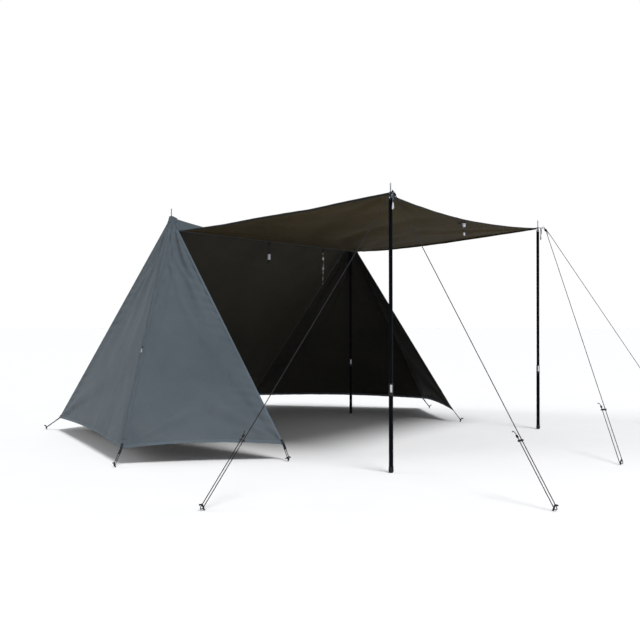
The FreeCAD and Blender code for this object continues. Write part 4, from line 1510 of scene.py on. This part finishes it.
# Each sun's direction from the tent, strength and softness in degrees: a high soft key from the awning's
# side, and a low one along the back slope.
SUNS = {"key": ((0.45, -0.16, 0.88), 2.5, 22), "rim": ((-0.80, -0.48, 0.36), 1.15, 26)}
SUN_DISTANCE = 6
FILL_AT, FILL_TO = (9.0, 0.2, 0.9), (0.6, 1.0, 1.0)      # a broad fill into the open front
FILL_SIZE, FILL_POWER = 3.0, 120
CAMERA_AT = (4.2014, -3.9389, 0.8800)
CAMERA_YAW, CAMERA_PITCH, CAMERA_ROLL = (math.radians(angle) for angle in (126.397, -0.089, -0.132))
CAMERA_LENS, CAMERA_SENSOR = 45.247, 36.0


def make_floor():
    n = Nodes("floor_pale")
    speck = n.noise(n.coords("Object"), 3.0, 3.0)
    n.set(Base_Color=n.blend(speck, rgb(0.86, 0.865, 0.87), rgb(0.90, 0.90, 0.905)), Roughness=0.9)
    n.set(Specular_IOR_Level=0.1)
    mesh = bpy.data.meshes.new("floor")
    corners = [(x * FLOOR_HALF, y * FLOOR_HALF, FLOOR_Z) for x, y in ((-1, -1), (1, -1), (1, 1), (-1, 1))]
    mesh.from_pydata(corners, [], [(0, 1, 2, 3)])
    mesh.materials.append(n.material)
    floor = bpy.data.objects.new("floor", mesh)
    bpy.context.scene.collection.objects.link(floor)


def make_backdrop():
    """White to the camera, and a cool dim dome to everything else."""
    world = bpy.data.worlds.new("studio")
    bpy.context.scene.world = world
    world.use_nodes = True
    tree = world.node_tree
    backdrop = tree.nodes["Background"]
    backdrop.inputs[0].default_value = (1.0, 1.0, 1.0, 1.0)
    backdrop.inputs[1].default_value = 1.0
    ambient = tree.nodes.new("ShaderNodeBackground")
    ambient.inputs[0].default_value = (0.95, 0.98, 1.0, 1.0)
    ambient.inputs[1].default_value = AMBIENT
    seen = tree.nodes.new("ShaderNodeLightPath")
    both = tree.nodes.new("ShaderNodeMixShader")
    tree.links.new(seen.outputs["Is Camera Ray"], both.inputs[0])
    tree.links.new(ambient.outputs[0], both.inputs[1])
    tree.links.new(backdrop.outputs[0], both.inputs[2])
    tree.links.new(both.outputs[0], tree.nodes["World Output"].inputs[0])


def lamp_toward(name, kind, at, to, power):
    data = bpy.data.lights.new(name, kind)
    data.energy = power
    lamp = bpy.data.objects.new(name, data)
    bpy.context.scene.collection.objects.link(lamp)
    lamp.location = at
    lamp.rotation_mode = "QUATERNION"
    lamp.rotation_quaternion = (Vector(to) - Vector(at)).to_track_quat("-Z", "Y")
    return data


def make_lights():
    for name, (way, power, softness) in SUNS.items():
        lamp = lamp_toward(name, "SUN", tuple(SUN_DISTANCE * w for w in way), (0, 0, 0), power)
        lamp.angle = math.radians(softness)
    lamp_toward("fill", "AREA", FILL_AT, FILL_TO, FILL_POWER).size = FILL_SIZE


def make_camera():
    flat = math.cos(CAMERA_PITCH)
    ahead = Vector((flat * math.cos(CAMERA_YAW), flat * math.sin(CAMERA_YAW), math.sin(CAMERA_PITCH)))
    right = Vector((math.sin(CAMERA_YAW), -math.cos(CAMERA_YAW), 0))
    up = right.cross(ahead)
    side = right * math.cos(CAMERA_ROLL) + up * math.sin(CAMERA_ROLL)
    top = up * math.cos(CAMERA_ROLL) - right * math.sin(CAMERA_ROLL)
    data = bpy.data.cameras.new("camera")
    data.lens = CAMERA_LENS
    data.sensor_width = CAMERA_SENSOR
    camera = bpy.data.objects.new("camera", data)
    bpy.context.scene.collection.objects.link(camera)
    turn = Matrix((side, top, -ahead)).transposed()
    camera.matrix_world = Matrix.Translation(CAMERA_AT) @ turn.to_4x4()
    bpy.context.scene.camera = camera


# ---------------------------------------------------------------- the whole tent
make_roof()
for side in SIDES:
    make_end(side)
    make_apex_patch(side)
    make_zip(side)
    make_zip_slider(side)
make_edge_seams()
make_awning()
make_seam_tape()
make_short_tie()
make_long_tie()
make_middle_loop()
for side in SIDES:
    make_corner_loop(side)
    for way in ("side", "front"):
        make_guy(side, way)
make_hem_corners()
for side in SIDES:
    for kind in ("ridge", "awning"):
        make_pole_mark(side, kind)
paint_packed_parts()
make_floor()
make_backdrop()
make_lights()
make_camera()
bpy.context.scene.view_settings.view_transform = "Standard"
